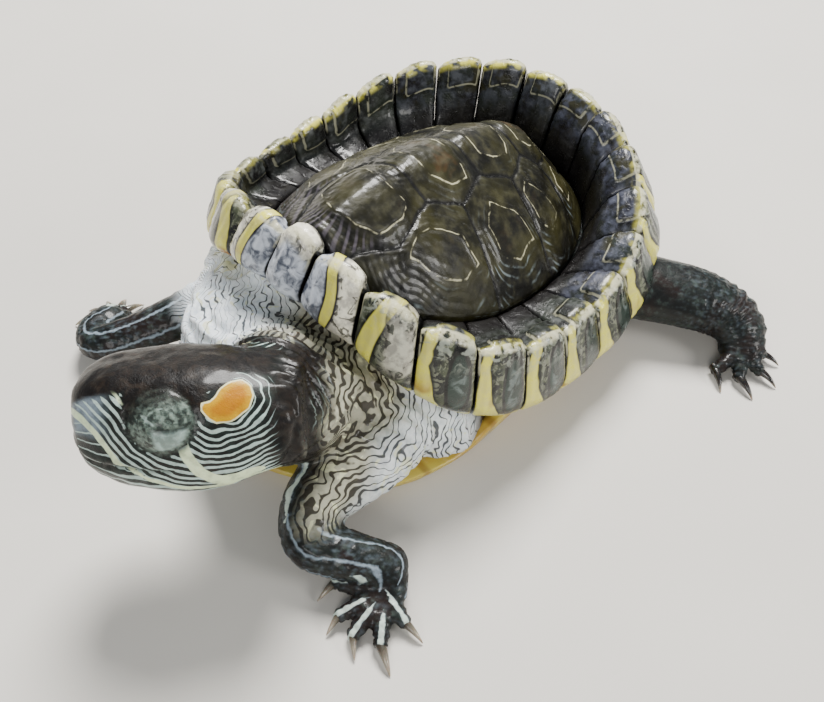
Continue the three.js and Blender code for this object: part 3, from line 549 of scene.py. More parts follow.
def build_dome():
    """Horn scutes of the dome: growth rings round each areola, seams and fine radial striae."""
    rows, columns = 232, 176
    end = DOME_HALF_LENGTH * 0.9992
    v = np.linspace(-1, 1, rows)
    y = DOME_CENTRE_Y + end * np.sign(v) * (1 - (1 - np.abs(v)) ** 1.25)
    t = np.linspace(-1, 1, columns)
    yy = np.repeat(y[:, None], columns, 1)
    tt = np.repeat(t[None], rows, 0)
    xx = tt * dome_half_width(yy, np.where(tt >= 0, 1, -1))
    warp = np.stack([xx, yy, 0 * xx], -1)
    wx = xx + 0.5 * noise(warp, 5, 1) + 0.18 * noise(warp, 1.6, 2)
    wy = yy + 0.5 * noise(warp, 5, 3) + 0.18 * noise(warp, 1.6, 4)
    seam = np.full(xx.shape, -9.0)
    areola = np.full(xx.shape, -9.0)
    which = np.zeros(xx.shape)
    spoke = np.zeros(xx.shape)
    for k, (outline, inner) in enumerate(dome_scutes()):
        d = outline_distance(wx, wy, outline)
        mine = d > seam
        seam = np.where(mine, d, seam)
        areola = np.where(mine, outline_distance(wx, wy, inner), areola)
        which = np.where(mine, k, which)
        cx, cy = np.mean(inner, axis=0)
        spoke = np.where(mine, np.arctan2(wy - cy, wx - cx), spoke)
    seam = np.maximum(seam, 0)
    outside = np.maximum(-areola, 0)
    # relief: a low flat areola with a lip, then ridges that crowd towards the seam
    relief = 0.75 * (1 - smooth(-0.2, 3.2, outside)) + 0.16 * bell(areola - 0.25, 0.35)
    growth = outside / 1.35 + 0.25 * noise(warp, 6, 9)
    relief += np.where(outside > 0.3, 0.13 * sawtooth(growth, 0.7), 0) * smooth(0.3, 2.0, seam)
    striate = np.where((which == 0) | (which == 9) | (which == 5), 1.0, 0.35)
    relief += 0.05 * striate * np.sin(spoke * 46 + 2 * noise(warp, 3, 5)) * smooth(0.3, 2.5, outside)
    relief += 0.07 * noise(warp, 1.3, 6) + 0.05 * noise(warp, 0.7, 8)
    relief -= 0.4 * bell(seam, 0.5)
    relief *= smooth(1, 0.985, np.abs(tt))
    zz = dome_height(xx, yy) + relief
    top = np.stack([xx, yy, zz], -1)
    # close the body: the edge drops a little and a fan closes the underside
    idx = np.arange(rows * columns).reshape(rows, columns)
    loop = np.concatenate([idx[0, :-1], idx[:-1, -1], idx[-1, :0:-1], idx[:0:-1, 0]])
    flat = top.reshape(-1, 3)
    under = flat[loop] - (0, 0, DOME_SKIRT)
    middle = np.array([[0, DOME_CENTRE_Y, under[:, 2].mean() + 6]])
    points = np.concatenate([flat, under, middle])
    quads = np.stack([idx[:-1, :-1], idx[:-1, 1:], idx[1:, 1:], idx[1:, :-1]], -1).reshape(-1, 4)
    n, first = len(loop), rows * columns
    faces = quads.tolist()
    for i in range(n):
        j = (i + 1) % n
        faces.append((int(loop[j]), int(loop[i]), first + i, first + j))
        faces.append((first + j, first + i, first + n))
    # low is the dome's lower flanks, where the painted highlights on the growth ridges are strongest
    values = {"seam": seam, "areola": areola, "growth": growth, "spoke": spoke,
              "keel": (which < 5) & (which > 0), "striate": (which == 0) | (which == 9),
              "low": smooth(0.62, 0.85, np.abs(tt))}
    for key, value in values.items():
        below = -9.0 if key == "areola" else 0.0
        values[key] = np.concatenate([value.ravel(), np.full(n + 1, below)])
    return turned_out(make_piece("dome_scutes", points, faces, values))


def rim_plate(start, stop, edges):
    """Points of one rim plate between two bearings, with their shares of the way up and across."""
    slices = 34
    t = np.linspace(0, 1, slices)
    bearing = start + (stop - start) * t
    lift = along(edges, t)
    corners = rim_slice(bearing, lift)
    counts = [5, 5, 4, 2, 8, 9, 2, 5, 4]
    place, mark = [], []
    marks = [0, 0.35, 0.75, 0.97, 1.05, 2, 3, 3.2, 3.8, 4]
    for k, n in enumerate(counts):
        for i in range(n):
            s = i / n
            place.append(corners[:, k] * (1 - s) + corners[:, (k + 1) % 9] * s)
            mark.append(marks[k] * (1 - s) + marks[k + 1] * s)
    ring = np.stack(place, 1)
    for _ in range(3):
        ring = 0.5 * ring + 0.25 * (np.roll(ring, 1, 1) + np.roll(ring, -1, 1))
    mark = np.repeat(np.array(mark)[None], slices, 0)
    out = np.stack([np.sin(bearing), -np.cos(bearing)], -1)
    xy = out[:, None, :] * ring[..., :1]
    points = np.concatenate([xy + (0, SHELL_CENTRE_Y), ring[..., 1:]], -1)
    return points, mark, np.repeat(t[:, None], ring.shape[1], 1)


def build_rim():
    """Twenty-five horn plates of the upturned rim, each a closed body with its own growth lines."""
    marks = np.interp(np.linspace(NUCHAL_HALF_ARC, CREST_RUN[-1], 13), CREST_RUN, TURNS)
    nuchal = float(np.interp(NUCHAL_HALF_ARC, CREST_RUN, TURNS))
    trim = 0.11 / RIM_HALF_WIDTH[-1]
    plates = [(-nuchal + trim, nuchal - trim, [(0, -0.4), (0.3, 0.6), (0.7, 0.6), (1, -0.4)], 0)]
    for side in (1, -1):
        for k in range(12):
            plates.append((side * (marks[k] + trim), side * (marks[k + 1] - trim), SCALLOP, side * (k + 1)))
    points, faces, values = [], [], {}
    first = 0
    for start, stop, edges, number in plates:
        p, up, across = rim_plate(start, stop, edges)
        rows, columns = up.shape
        side = 1 if number >= 0 else -1
        du = np.gradient(p, axis=0)
        dv = np.roll(p, -1, 1) - np.roll(p, 1, 1)
        normal = unit(np.cross(du, dv))
        centre = p.mean((0, 1))
        if np.einsum("ijk,ijk->", normal, p - centre) < 0:
            normal = -normal
        width = np.linalg.norm(p[-1] - p[0], axis=-1)[None]
        seam = np.minimum(across, 1 - across) * width
        wobble = noise(p, 3.2, 11)
        fine = noise(p, 1.1, 12)
        outer = smooth(0.02, 0.1, up) * (1 - smooth(1.0, 1.15, up))
        upper = smooth(1.05, 1.2, up) * (1 - smooth(2.85, 3.0, up))
        reach = np.maximum(1 - across, np.clip(1 - up, 0, 1) * 1.05)
        h = 0.16 * outer * sawtooth(reach * 6.5 + 0.35 * wobble, 0.75)
        rows_mm = np.where(up < 2, (up - 1.1) * 7.5, 99)
        tile = np.minimum((across - 0.26) * width, (0.93 - across) * width)
        tile = np.minimum(tile, np.minimum(rows_mm + 0.35, 4.6 - rows_mm)) + 0.25 * wobble
        h += 0.75 * smooth(-0.15, 0.35, tile) + 0.13 * upper * np.sin(up * 26 + 1.5 * wobble)
        # each plate is crowned across its width, the front ones like little barrels
        crown = (1.5 if abs(number) < 4 else 0.75) * (1 - (2 * across - 1) ** 2)
        h += crown * (smooth(0.0, 0.3, up) - smooth(2.0, 2.9, up))
        h += 0.10 * wobble + 0.06 * fine
        flake = smooth(0.85, 0.98, up) * (1 - smooth(1.05, 1.3, up))
        h += flake * (0.22 * noise(p, 1.6, 21) + 0.12)
        h -= 0.5 * bell(seam, 0.4) * (1 - smooth(2.9, 3.1, up))
        h *= 1 - smooth(3.0, 3.2, up)
        p = p + normal * h[..., None]
        # a yellow bar by the front seam that spreads at the base, and a dark eye behind it
        lean = np.clip(0.9 - up, 0, 1)
        place = 0.12 + 0.5 * (up - 0.6) ** 2 + 0.03 * wobble
        half = (0.085 + 0.36 * lean ** 2.4 + 0.02 * fine) * width
        bar = np.abs(across - place) * width - half
        spot = np.hypot((across - 0.68) * width, (up - 0.55) * 7.2) + 0.15 * fine + 0.2 * wobble
        pale, cold = 0 * up, 0 * up
        if abs(number) == 1:
            bend = 0.42 + 0.16 * np.sin(np.clip(up, 0, 1.2) * 2.7)
            bar = np.abs(across - bend) * width - 1.15 * smooth(-0.1, 0.5, up) - 0.15 * wobble
            pale = smooth(0.5, 0.62, across + 0.06 * wobble)
            cold = 1 - pale
            spot += 6
        elif abs(number) == 2:
            bend = 0.16 + 0.55 * (np.clip(up, 0, 1.1) - 0.4) ** 2 + 0.12 * np.clip(up, 0, 1.1)
            bar = np.abs(across - bend) * width - 1.7 - 0.6 * lean - 0.15 * wobble
            pale = 0.55 * smooth(0.45, 0.6, across) * smooth(0.2, 0.5, up)
            spot = np.hypot((across - 0.72) * width, (up - 0.75) * 5) + 0.8 * wobble + 0.6
        elif number == 0:
            bar = bar * 0 + 9
            spot = spot * 0 + 9
            pale = smooth(0.8, 0.98, up + 0.1 * wobble)
            cold = 1 - pale
        faces += tube_faces(rows, columns, first)
        points.append(with_ends(p))
        # one value gives the rear plates their share of painted sky reflection
        for key, value in (("up", up), ("side", seam), ("bar", bar), ("spot", spot), ("tile", tile),
                           ("pale", pale), ("cold", cold), ("wide", 0 * up + (side > 0)),
                           ("painted_sky_sheen", 0 * up + (0.9 if number > 6 else 0.45 if number < -8 else 0)),
                           ("lip", 0 * up + (0.25 if -6 < number < -1 else 1))):
            values.setdefault(key, []).append(values_with_ends(value))
        first += rows * columns + 2
    joined = {key: np.concatenate(v) for key, v in values.items()}
    return fix_islands(make_piece("rim_plates", np.concatenate(points), faces, joined))


def build_plastron():
    """The belly plate with its bridges, as one closed horn body with seams on the underside."""
    y = np.concatenate([[-75], np.linspace(-74.6, 42, 118), [42.5]])
    half, edge, hang = (along(PLASTRON, y, c) for c in (1, 2, 3))
    top = np.minimum(edge, 4)
    corners = [(half - 1.2, 0 * y), (half + 0.2, 0 * y + 1), (half + 0.4, 0 * y + 2.2),
               (half + hang, edge), (half + hang - 2.6, edge), (half - 4, top)]
    corners = [(np.maximum(x, 0.6), z) for x, z in corners]
    left = np.stack([np.stack(c, -1) for c in corners], 1)
    right = left[:, ::-1] * (-1, 1)
    ring = np.concatenate([left, right], 1)
    counts = [2, 2, 3, 3, 3, 10, 3, 3, 3, 2, 2, 44]
    parts = []
    for k, n in enumerate(counts):
        s = (np.arange(n) / n)[None, :, None]
        parts.append(ring[:, k][:, None] * (1 - s) + ring[:, (k + 1) % 12][:, None] * s)
    ring = np.concatenate(parts, 1)
    yy = np.repeat(y[:, None], ring.shape[1], 1)
    points = np.stack([ring[..., 0], yy, ring[..., 1]], -1)
    x = points[..., 0]
    seams = [-62, -50, -31, 4, 24]
    wavy = yy + 1.2 * np.cos(x / 9) + 0.3 * noise(points, 4, 3)
    seam = np.min([np.abs(wavy - s) for s in seams], axis=0)
    seam = np.minimum(seam, np.abs(x + 0.25 * noise(points, 4, 4)))
    below = 1 - smooth(0.5, 1.5, points[..., 2])
    points[..., 2] += below * 0.35 * bell(seam, 0.4)
    points[..., 0] += np.where(below < 0.5, np.sign(x) * 0.12 * noise(points, 2, 5), 0)
    middle = np.array([-68, -56, -40, -14, 14, 33])
    near = np.abs(wavy[..., None] - middle).argmin(-1)
    blot = np.hypot((np.abs(x) - half[:, None] * 0.5) / 1.3, wavy - middle[near]) + 1.5 * noise(points, 5, 6)
    values = {"seam": seam, "blot": blot, "height": points[..., 2]}
    values = {key: values_with_ends(value) for key, value in values.items()}
    return fix_islands(make_piece("plastron_plate", with_ends(points), tube_faces(*yy.shape), values))


# ------------------------------------------------------------------ the soft parts
def head_frame():
    """The head's own directions: ahead, to its left and up."""
    ahead = unit(HEAD_AHEAD)
    level = unit(np.array([-ahead[1], ahead[0], 0.0]))
    raised = np.cross(ahead, level)
    left = level * math.cos(HEAD_ROLL) + raised * math.sin(HEAD_ROLL)
    return ahead, left, np.cross(ahead, left)


def in_head(points):
    """Points as (ahead, left, up) of the head's own frame."""
    return (points - HEAD_REAR) @ np.stack(head_frame(), 1)


def path_curve(stations, steps):
    """Evenly spaced places along a limb: centre, along, across and up directions, sizes, run."""
    s = np.array(stations, float)
    chord = np.concatenate([[0], np.cumsum(np.linalg.norm(np.diff(s[:, :3], axis=0), axis=1) ** 0.5)])
    at = np.linspace(0, chord[-1], steps)
    columns = [along(list(zip(chord, s[:, k])), at) for k in range(5)]
    centre = np.stack(columns[:3], 1)
    ahead = unit(np.gradient(centre, axis=0))
    across = unit(np.cross([0, 0, 1], ahead))
    up = np.cross(ahead, across)
    run = np.concatenate([[0], np.cumsum(np.linalg.norm(np.diff(centre, axis=0), axis=1))])
    return centre, ahead, across, up, columns[3], columns[4], run


def tube_rings(stations, sides=28, steps=26, swell=0.0):
    """Rings of a limb with domed ends, and the two end points."""
    centre, ahead, across, up, wide, high, _ = path_curve(stations, steps)
    wide, high = wide + swell, high + swell
    share = np.sin(np.radians([25, 50, 72]))
    shrink = np.cos(np.radians([25, 50, 72]))
    reach = min(wide[-1], high[-1]), min(wide[0], high[0])
    centre = np.concatenate([centre[0] - np.outer(share[::-1] * reach[1], ahead[0]), centre,
                             centre[-1] + np.outer(share * reach[0], ahead[-1])])
    wide = np.concatenate([wide[0] * shrink[::-1], wide, wide[-1] * shrink])
    high = np.concatenate([high[0] * shrink[::-1], high, high[-1] * shrink])
    across = np.concatenate([across[:1]] * 3 + [across] + [across[-1:]] * 3)
    up = np.concatenate([up[:1]] * 3 + [up] + [up[-1:]] * 3)
    turn = 2 * np.pi * (np.arange(sides) + 0.5) / sides
    ring = (centre[:, None] + across[:, None] * (np.cos(turn)[None, :, None] * wide[:, None, None])
            + up[:, None] * (np.sin(turn)[None, :, None] * high[:, None, None]))
    ends = [centre[0] - ahead[0] * reach[1] * 0.05, centre[-1] + ahead[-1] * reach[0] * 0.05]
    return ring, ends


def digit_ends(name):
    """For each digit: its end where the claw grows, the claw's tip, and the way back from tip to end."""
    limb = LIMBS[name]
    palm = np.array(limb["palm"][:2], float)
    found = []
    for k, tip in enumerate(np.array(limb["tips"], float)):
        short = tip + unit(palm - tip) * CLAW_LENGTH[name.split("_")[0]]
        end = limb["ends"][k] if "ends" in limb else short
        found.append((np.array(end, float), tip, unit(np.array(end) - tip)))
    return found


def head_rings():
    """The skull's smooth form: a flat crown, full cheeks, a blunt snout with a hooked lip."""
    at = np.concatenate([np.linspace(-9, 30.6, 52), [31.2, 31.8, 32.2]])
    wide, top, low = (along(HEAD_SECTIONS, at, c) for c in (1, 2, 3))
    sides = 56
    turn = 2 * np.pi * (np.arange(sides) + 0.5) / sides
    c, s = np.cos(turn), np.sin(turn)
    r = (np.abs(c) ** 2.4 + np.abs(s) ** 2.4) ** (-1 / 2.4)
    ahead, left, up = head_frame()
    side = wide[:, None] * c * r
    rise = np.where(s > 0, top[:, None], low[:, None]) * s * r
    # the crown between the eyes is flat and the face narrows under the brow
    rise = np.where(s > 0, rise - 0.5 * bell(side, 4.5) * smooth(4, 14, at)[:, None], rise)
    return HEAD_REAR + at[:, None, None] * ahead + side[..., None] * left + rise[..., None] * up


def trunk_rings(sectors=84):
    """The body inside the shell, open skin at the front and the rear of it."""
    bearing = 2 * np.pi * np.arange(sectors) / sectors
    turn = np.abs(np.arctan2(np.sin(bearing), np.cos(bearing)))
    corners = rim_slice(bearing)
    foot, base, inner = corners[:, 0, 0], corners[:, 0, 1], corners[:, 7, 0]
    opening = np.maximum(1 - np.clip((turn - math.radians(47)) / math.radians(10), 0, 1),
                         np.clip((turn - math.radians(122)) / math.radians(10), 0, 1))
    front = (1 + np.cos(bearing)) / 2

    def at(radius, z):
        y = SHELL_CENTRE_Y - radius * np.cos(bearing)
        return np.stack([radius * np.sin(bearing), y, z + 0 * radius], -1)

    def under(share):
        p = at(inner * share, 0)
        p[:, 2] = dome_height(p[:, 0], p[:, 1]) - 5.6
        return p

    bridge = foot - WALL - 3.8
    belly = bridge - 0.4 + (foot + (-6 + 9 * front) - bridge + 0.4) * opening
    belly_z = np.minimum(base - 1, 7)
    belly_z = belly_z + (base * (0.6 - 0.05 * front) - belly_z) * opening
    floor = bridge - 1.2 + (foot + (-12 + 17 * front) - bridge + 1.2) * opening
    lip = bridge + (foot - 2.0 - bridge) * opening
    rows = [under(0.02), under(0.33), under(0.66), under(0.92), at(inner - 0.4, corners[:, 7, 1] - 2.6),
            at(lip, base - 1.6), at(belly, belly_z), at(floor, np.full(sectors, 5.8)),
            at(floor - 1.5, np.full(sectors, 4.7)), at(floor * 0.02, np.full(sectors, 4.7))]
    return np.stack(rows)


def keep_largest(mesh):
    """Deletes every closed body of a mesh but the largest, such as a bubble that a remesh leaves."""
    work = bmesh.new()
    work.from_mesh(mesh)
    left = set(work.verts)
    bodies = []
    while left:
        body, edge = [], [left.pop()]
        while edge:
            vert = edge.pop()
            body.append(vert)
            for link in vert.link_edges:
                other = link.other_vert(vert)
                if other in left:
                    left.discard(other)
                    edge.append(other)
        bodies.append(body)
    bodies.sort(key=len)
    bmesh.ops.delete(work, geom=[vert for body in bodies[:-1] for vert in body], context="VERTS")
    work.to_mesh(mesh)
    work.free()


def build_skin_body(voxel):
    """One closed skin: lofts of trunk, neck, head, limbs, digits and tail, fused and relaxed."""
    points, faces, first = [], [], 0

    def add(rings, ends=None):
        nonlocal first
        rows, columns = rings.shape[:2]
        tips = rings[[0, -1]].mean(1) if ends is None else np.array(ends)
        points.append(np.concatenate([rings.reshape(-1, 3), tips]))
        faces.extend(tube_faces(rows, columns, first))
        first += rows * columns + 2

    add(trunk_rings())
    add(head_rings())
    neck = NECK[:-1] + [tuple(HEAD_REAR + unit(HEAD_AHEAD) * 1.5) + (10.6, 9.6)]
    add(*tube_rings(neck, 36, 24))
    add(*tube_rings(COLLAR, 56, 20))
    add(*tube_rings(TAIL, 20, 24, -0.1))
    for name, limb in LIMBS.items():
        add(*tube_rings(limb["path"], 32, 30, -0.15))
        x, y, z, wide = limb["palm"]
        wrist = limb["path"][-1]
        far = [wrist[k] + (limb["palm"][k] - wrist[k]) * 1.4 for k in range(2)]
        add(*tube_rings([(*wrist[:3], wide * 0.8, wide * 0.64), (x, y, z + 0.1, wide * 0.88, wide * 0.46),
                         (*far, z * 0.7 + 0.3, wide * 0.62, wide * 0.26)], 24, 12))
        for (bx, by), _, _ in digit_ends(name):
            mx, my = x + (bx - x) * 0.6, y + (by - y) * 0.6
            finger = [(x, y, z, 2.4, 2.1), (mx, my, 3.1, 1.95, 1.9), (bx, by, 1.9, 1.45, 1.45)]
            add(*tube_rings(finger, 16, 10))
    rough = make_piece("skin_rough", np.concatenate(points), faces)
    fix_islands(rough)
    remesh = rough.modifiers.new("fuse", "REMESH")
    remesh.mode = "VOXEL"
    remesh.voxel_size = voxel * MM
    relax = rough.modifiers.new("relax", "SMOOTH")
    relax.factor, relax.iterations = 0.5, 5
    mesh = grown_mesh(rough)
    keep_largest(mesh)
    return mesh


def limb_places(points, stations):
    """Nearest place on a limb for each point: run in mm, turn about it, distance, and its size."""
    centre, ahead, across, up, wide, high, run = path_curve(stations, 60)
    nearest = np.full(len(points), 1e9)
    for c in centre:
        nearest = np.minimum(nearest, ((points - c) ** 2).sum(1))
    total, s, side, rise, size = np.zeros((5, len(points)))
    for k in range(len(centre)):
        away = points - centre[k]
        weight = np.exp(-((away ** 2).sum(1) - nearest) / 18.0)
        total += weight
        s += weight * (run[k] + away @ ahead[k])
        side += weight * (away @ across[k])
        rise += weight * (away @ up[k])
        size += weight * max(wide[k], high[k])
    return s / total, np.arctan2(rise, side), np.sqrt(nearest), size / total, run[-1]


# Markings of the left side of the head: (ahead mm, mm round the head from its left side, up positive).
LIP_LINE = [(33, 11), (29, 7), (26, 3.4), (23, -2.6), (18, -6.2), (14, -8), (8, -9.4), (0, -10.5), (-8, -11)]
CHEEK_BAND = [(10.9, 1.9), (10.2, -1.4), (8.6, -4.6), (6, -7.2), (3.2, -8), (-1, -8.2)]
FACE_LINES = [([(33, 17), (30.5, 14.5), (29.5, 12.5)], 0.5), ([(24.5, 13.5), (21.8, 10.5), (20.6, 8.5)], 0.3)]
EAR_PATCH = [(6.9, 8.0), (5.6, 8.2), (4.6, 9.0), (3.9, 10.4), (2.6, 12.0), (0.6, 12.8), (-0.8, 11.8),
             (-1.3, 9.6), (-0.6, 7.4), (0.8, 5.8), (2.8, 4.9), (4.6, 4.9), (5.8, 5.7), (6.8, 6.9)]


def head_lines(a, arc, red, p, lump):
    """Bold pale lines as a distance, the counting field and width of the fine ones, the crown's share."""
    wob = 0.5 * noise(p, 2.6, 33) + 0.12 * noise(p, 1.3, 37)
    above_lip = arc > along(LIP_LINE[::-1], a)
    lip = line_distance(a, arc, LIP_LINE)
    band = line_distance(a, arc + 0.3 * wob, CHEEK_BAND) - 1.15 - 0.25 * lump
    ahead_of_band = a > np.interp(-arc, [-2, 1.4, 4.6, 7.2, 8, 8.2], [10.9, 10.2, 8.6, 6, 3.2, -1])
    run = np.where(above_lip, np.where(ahead_of_band, (lip + 0.5 * wob) / 1.3, (wob - red) / 1.25),
                   (arc + 0.5 * wob) / 2.4)
    fill = np.where(above_lip, 0.25 + 0.08 * lump, 0.2 - 0.13 * smooth(22, 26, a))
    fill = fill * (1 - 0.45 * smooth(4, 9, arc) * (a < 6)) * (1 - 0.6 * smooth(24, 28, a) * smooth(4, 7, arc))
    fill = fill - 0.35 * smooth(30.2, 31.6, a)
    crown = smooth(9.6, 11.2, arc + 0.5 * wob) * np.where(a < 2, smooth(14, 16, arc), 1)
    crown = np.maximum(crown, smooth(4.5, 7, arc) * smooth(21.5, 20, a) * smooth(16, 17.5, a))
    crown = np.maximum(crown, smooth(5.2, 7.2, arc) * smooth(13, 11.5, a) * smooth(5.5, 7, a))
    fill = fill * (1 - crown) * smooth(-6, -2, a) - 0.1 * crown - 0.1 * smooth(-0.2, 0.3, red + 0.8)
    bold = lip - 0.6 - 0.2 * lump
    for path, half in FACE_LINES:
        bold = np.minimum(bold, line_distance(a, arc + wob * 0.4, path) - half)
    return np.minimum(bold, band), run, fill, crown


def shape_skin(mesh):
    """Moves the fused skin into folds, scales, lids, nostrils and lips, and marks its regions."""
    p = read_points(mesh)
    n = read_normals(mesh)
    count = len(p)
    move = np.zeros(count)
    mark = {key: np.zeros(count) for key in ("green", "soft", "flow", "dark", "red", "crown", "snout",
                                             "lid", "eye", "cool", "run", "fill", "scale_gaps_and_sheen")}
    stripe = np.full(count, 5.0)

    def heighten(key, values):
        mark[key] = np.maximum(mark[key], values)

    lump = noise(p, 6, 31)
    grain = noise(p, 1.6, 32)

    # how far each point belongs to the head and to the neck, from 0 to 1
    h = in_head(p)
    head_size = along(HEAD_SECTIONS, h[:, 0])
    head_away = np.hypot(h[:, 1], h[:, 2])
    head = smooth(-7, -3, h[:, 0]) * (head_away < head_size + 4)
    neck_s, neck_t, neck_d, neck_r, neck_len = limb_places(p, NECK)
    neck = (1 - head) * (1 - smooth(neck_r * 1.04 + 0.4, neck_r * 1.3 + 1.5, neck_d)) * smooth(2, 14, neck_s)

    # ---- head
    turn = np.degrees(np.arctan2(h[:, 2], np.abs(h[:, 1])))
    arc = np.radians(turn) * 12.5
    on_head = head > 0.02
    # the markings of the right side sit lower than those of the left one, apart from the snout
    lower = 5.5 * smooth(24, 12, h[:, 0]) * (h[:, 1] < 0)
    red = outline_distance(h[:, 0] + 0.15 * grain, arc + 0.15 * grain + lower, EAR_PATCH)
    lines, run, fill, crown = head_lines(h[:, 0], arc + lower, red, p, lump)
    stripe = np.where(on_head, lines, stripe)
    mark["run"] = np.where(on_head, run, 0)
    mark["fill"] = np.where(on_head, fill, -0.1)
    mark["red"] = np.where(on_head, red, -9)
    mark["crown"] = crown * head
    mark["snout"] = head * smooth(22, 27, h[:, 0] + 0.8 * lump) * smooth(1, 5, arc)
    mark["green"] = head
    for side in (1, -1):
        centre = np.array([EYE_PLACE[0], side * EYE_PLACE[1], EYE_PLACE[2]])
        away = h - centre
        d = np.linalg.norm(away, axis=1)
        looking = unit(np.array(EYE_LOOK) * (1, side, 1))
        facing = np.einsum("ij,j->i", away, looking)
        flat = away - facing[:, None] * looking
        x = flat[:, 0]
        y = np.einsum("ij,j->i", flat, unit(np.cross(np.array([1.0, 0, 0]), looking)) * side)
        r = np.hypot(x, y * 1.02)
        near = (facing > -1) & (r < 9)
        bulge = 5.5 - d
        lift = np.where(near, np.maximum(bulge, 0) + 0.25 * np.exp(-np.abs(bulge) / 0.8), 0)
        lift *= 1 - smooth(6.2, 8.2, r)
        move += lift
        # the shut slit runs back from the middle; the upper lid has arced creases above it. Painted shade
        # darkens the crease troughs, the slit and the groove round the eye.
        slit = y + 1.5 - 0.05 * (x + 2) ** 2
        inside = near & (r < 5.7)
        slit_line = np.where(inside, bell(slit, 0.34) * smooth(1.6, 0.6, x), 0)
        move -= 0.42 * slit_line
        crease = np.hypot(x + 0.6, (y + 0.4) * 1.05)
        upper = inside & ((slit > 0.3) | (x > 0.9))
        ridge = wave(crease, 1.2) * smooth(1.0, 1.8, crease)
        move += np.where(upper, 0.13 * ridge, 0)
        heighten("dark", np.where(upper, 0.6 * smooth(0.1, -0.8, ridge + 0.5 * grain), 0))
        rim = np.abs(r - 5.9)
        move -= np.where(near, 0.4 * bell(rim, 0.5), 0)
        heighten("dark", np.where(near, 0.9 * bell(rim, 0.45), 0))
        heighten("dark", slit_line)
        under = np.where(inside & (slit < 0), smooth(5.2, 4.7, r) * smooth(1.2, 0.5, x), 0)
        heighten("lid", under)
        heighten("eye", np.where(near, smooth(6.3, 5.9, r), 0))
        brow = 0.85 * smooth(0.8, 3.6, y + 0.4 * x + 0.6 * lump) * (1 - under)
        mark["crown"] = np.where(inside, brow, mark["crown"])
        arcs = np.abs(crease - 2.55 + 0.2 * lump) - 0.02 - 0.1 * grain
        arcs = np.minimum(arcs, np.abs(crease - 4.4) + 0.02 - 0.12 * grain)
        arcs = np.minimum(arcs, line_distance(x, y, [(3.6, 2.4), (1.8, 0.4), (0.4, -0.4)]) - 0.2)
        stripe = np.where(inside, np.where(upper, arcs, 5.0), stripe)
        mark["fill"] = np.where(near & (r < 6.3), -0.1, mark["fill"])
    # painted shade: the groove between the lips is darkened
    mouth = h[:, 2] + 4.0 - 0.035 * (h[:, 0] - 24) ** 2 * (h[:, 0] > 24) + 0.25 * np.sin(h[:, 0] * 0.5)
    lips = on_head & (h[:, 0] > 12.5)
    mouth_line = np.where(lips, bell(mouth, 0.4) * smooth(12.5, 14, h[:, 0]), 0)
    move -= 0.55 * mouth_line
    move += np.where(lips, 0.3 * bell(mouth - 1.1, 0.8), 0)
    heighten("dark", mouth_line)
    for side in (1, -1):
        d = np.linalg.norm(h - np.array([31.0, side * 2.3, 4.2]), axis=1)
        move -= 0.9 * bell(d, 0.75)
        # painted shade in the nostril
        heighten("dark", bell(d, 0.8))
        drum = np.hypot(h[:, 0] - 3.4, arc - 1.4)
        move -= np.where(on_head & (np.sign(h[:, 1]) == side), 0.3 * (1 - smooth(2.2, 3.6, drum)), 0)
    cover = cells(h[:, 0], arc, 2.6, 4)
    move += head * 0.07 * smooth(0.05, 0.35, cover[1] - cover[0]) * smooth(55, 75, turn)
    move += head * (0.10 * noise(p, 2.4, 35) + 0.04 * grain)

    # ---- neck: broad rings behind the head, fine ones over all of it
    rings = neck_s + 0.8 * lump + 0.4 * noise(p, 2.5, 36)
    move += neck * 0.55 * wave(rings, 3.1) * smooth(8, 30, neck_s)
    move += neck * 0.15 * wave(rings, 1.3)
    to_head = neck_len - neck_s
    shade = smooth(17, 12.5, to_head + 2.5 * np.cos(neck_t) + lump)
    heighten("green", neck * shade)
    nape = smooth(-13, -9.5, h[:, 0] + 10 * smooth(0, 9, h[:, 2]) + 1.5 * lump)
    nape = nape * smooth(19, 15, head_away) * (1 - head)
    hard = head + np.maximum(neck * shade, nape)
    heighten("crown", nape)
    # painted shade in the troughs of the neck's broad rings
    heighten("dark", neck * 0.5 * shade * smooth(0.3, -0.9, wave(rings, 3.1)))
    on_neck = (neck > 0.4) & ~on_head
    mark["run"] = np.where(on_neck, (to_head + 0.8 * lump) / 1.7, mark["run"])
    mark["fill"] = np.where(on_neck, 0.05, mark["fill"])
    heighten("crown", neck * shade * (0.7 + 0.25 * lump))

    # ---- loose skin: its lines run down and forward from the rim
    mark["flow"] = 0.75 * p[:, 0] + 0.66 * p[:, 1] + 0.1 * p[:, 2]

    # ---- limbs
    taken = np.maximum(head, neck)
    for number, (name, limb) in enumerate(LIMBS.items()):
        s, t, d, size, length = limb_places(p, limb["path"] + [tuple(limb["palm"][:3]) + (6, 3)])
        reach = (1 - smooth(size * 1.12 + 1.2, size * 1.45 + 3.5, d)) * (1 - taken)
        palm = np.array(limb["palm"][:3], float)
        hand = smooth(16, 10, np.linalg.norm(p - palm, axis=1)) * smooth(length - 12, length - 5, s)
        reach = np.maximum(reach, hand * (p[:, 2] < 12))
        taken = np.maximum(taken, reach)
        front = name.startswith("fore")
        side = 1 if name.endswith("left") else -1
        outer = np.cos(t - (math.radians(200 if side > 0 else -20)))
        t = np.arctan2(np.cos(t), np.sin(t))
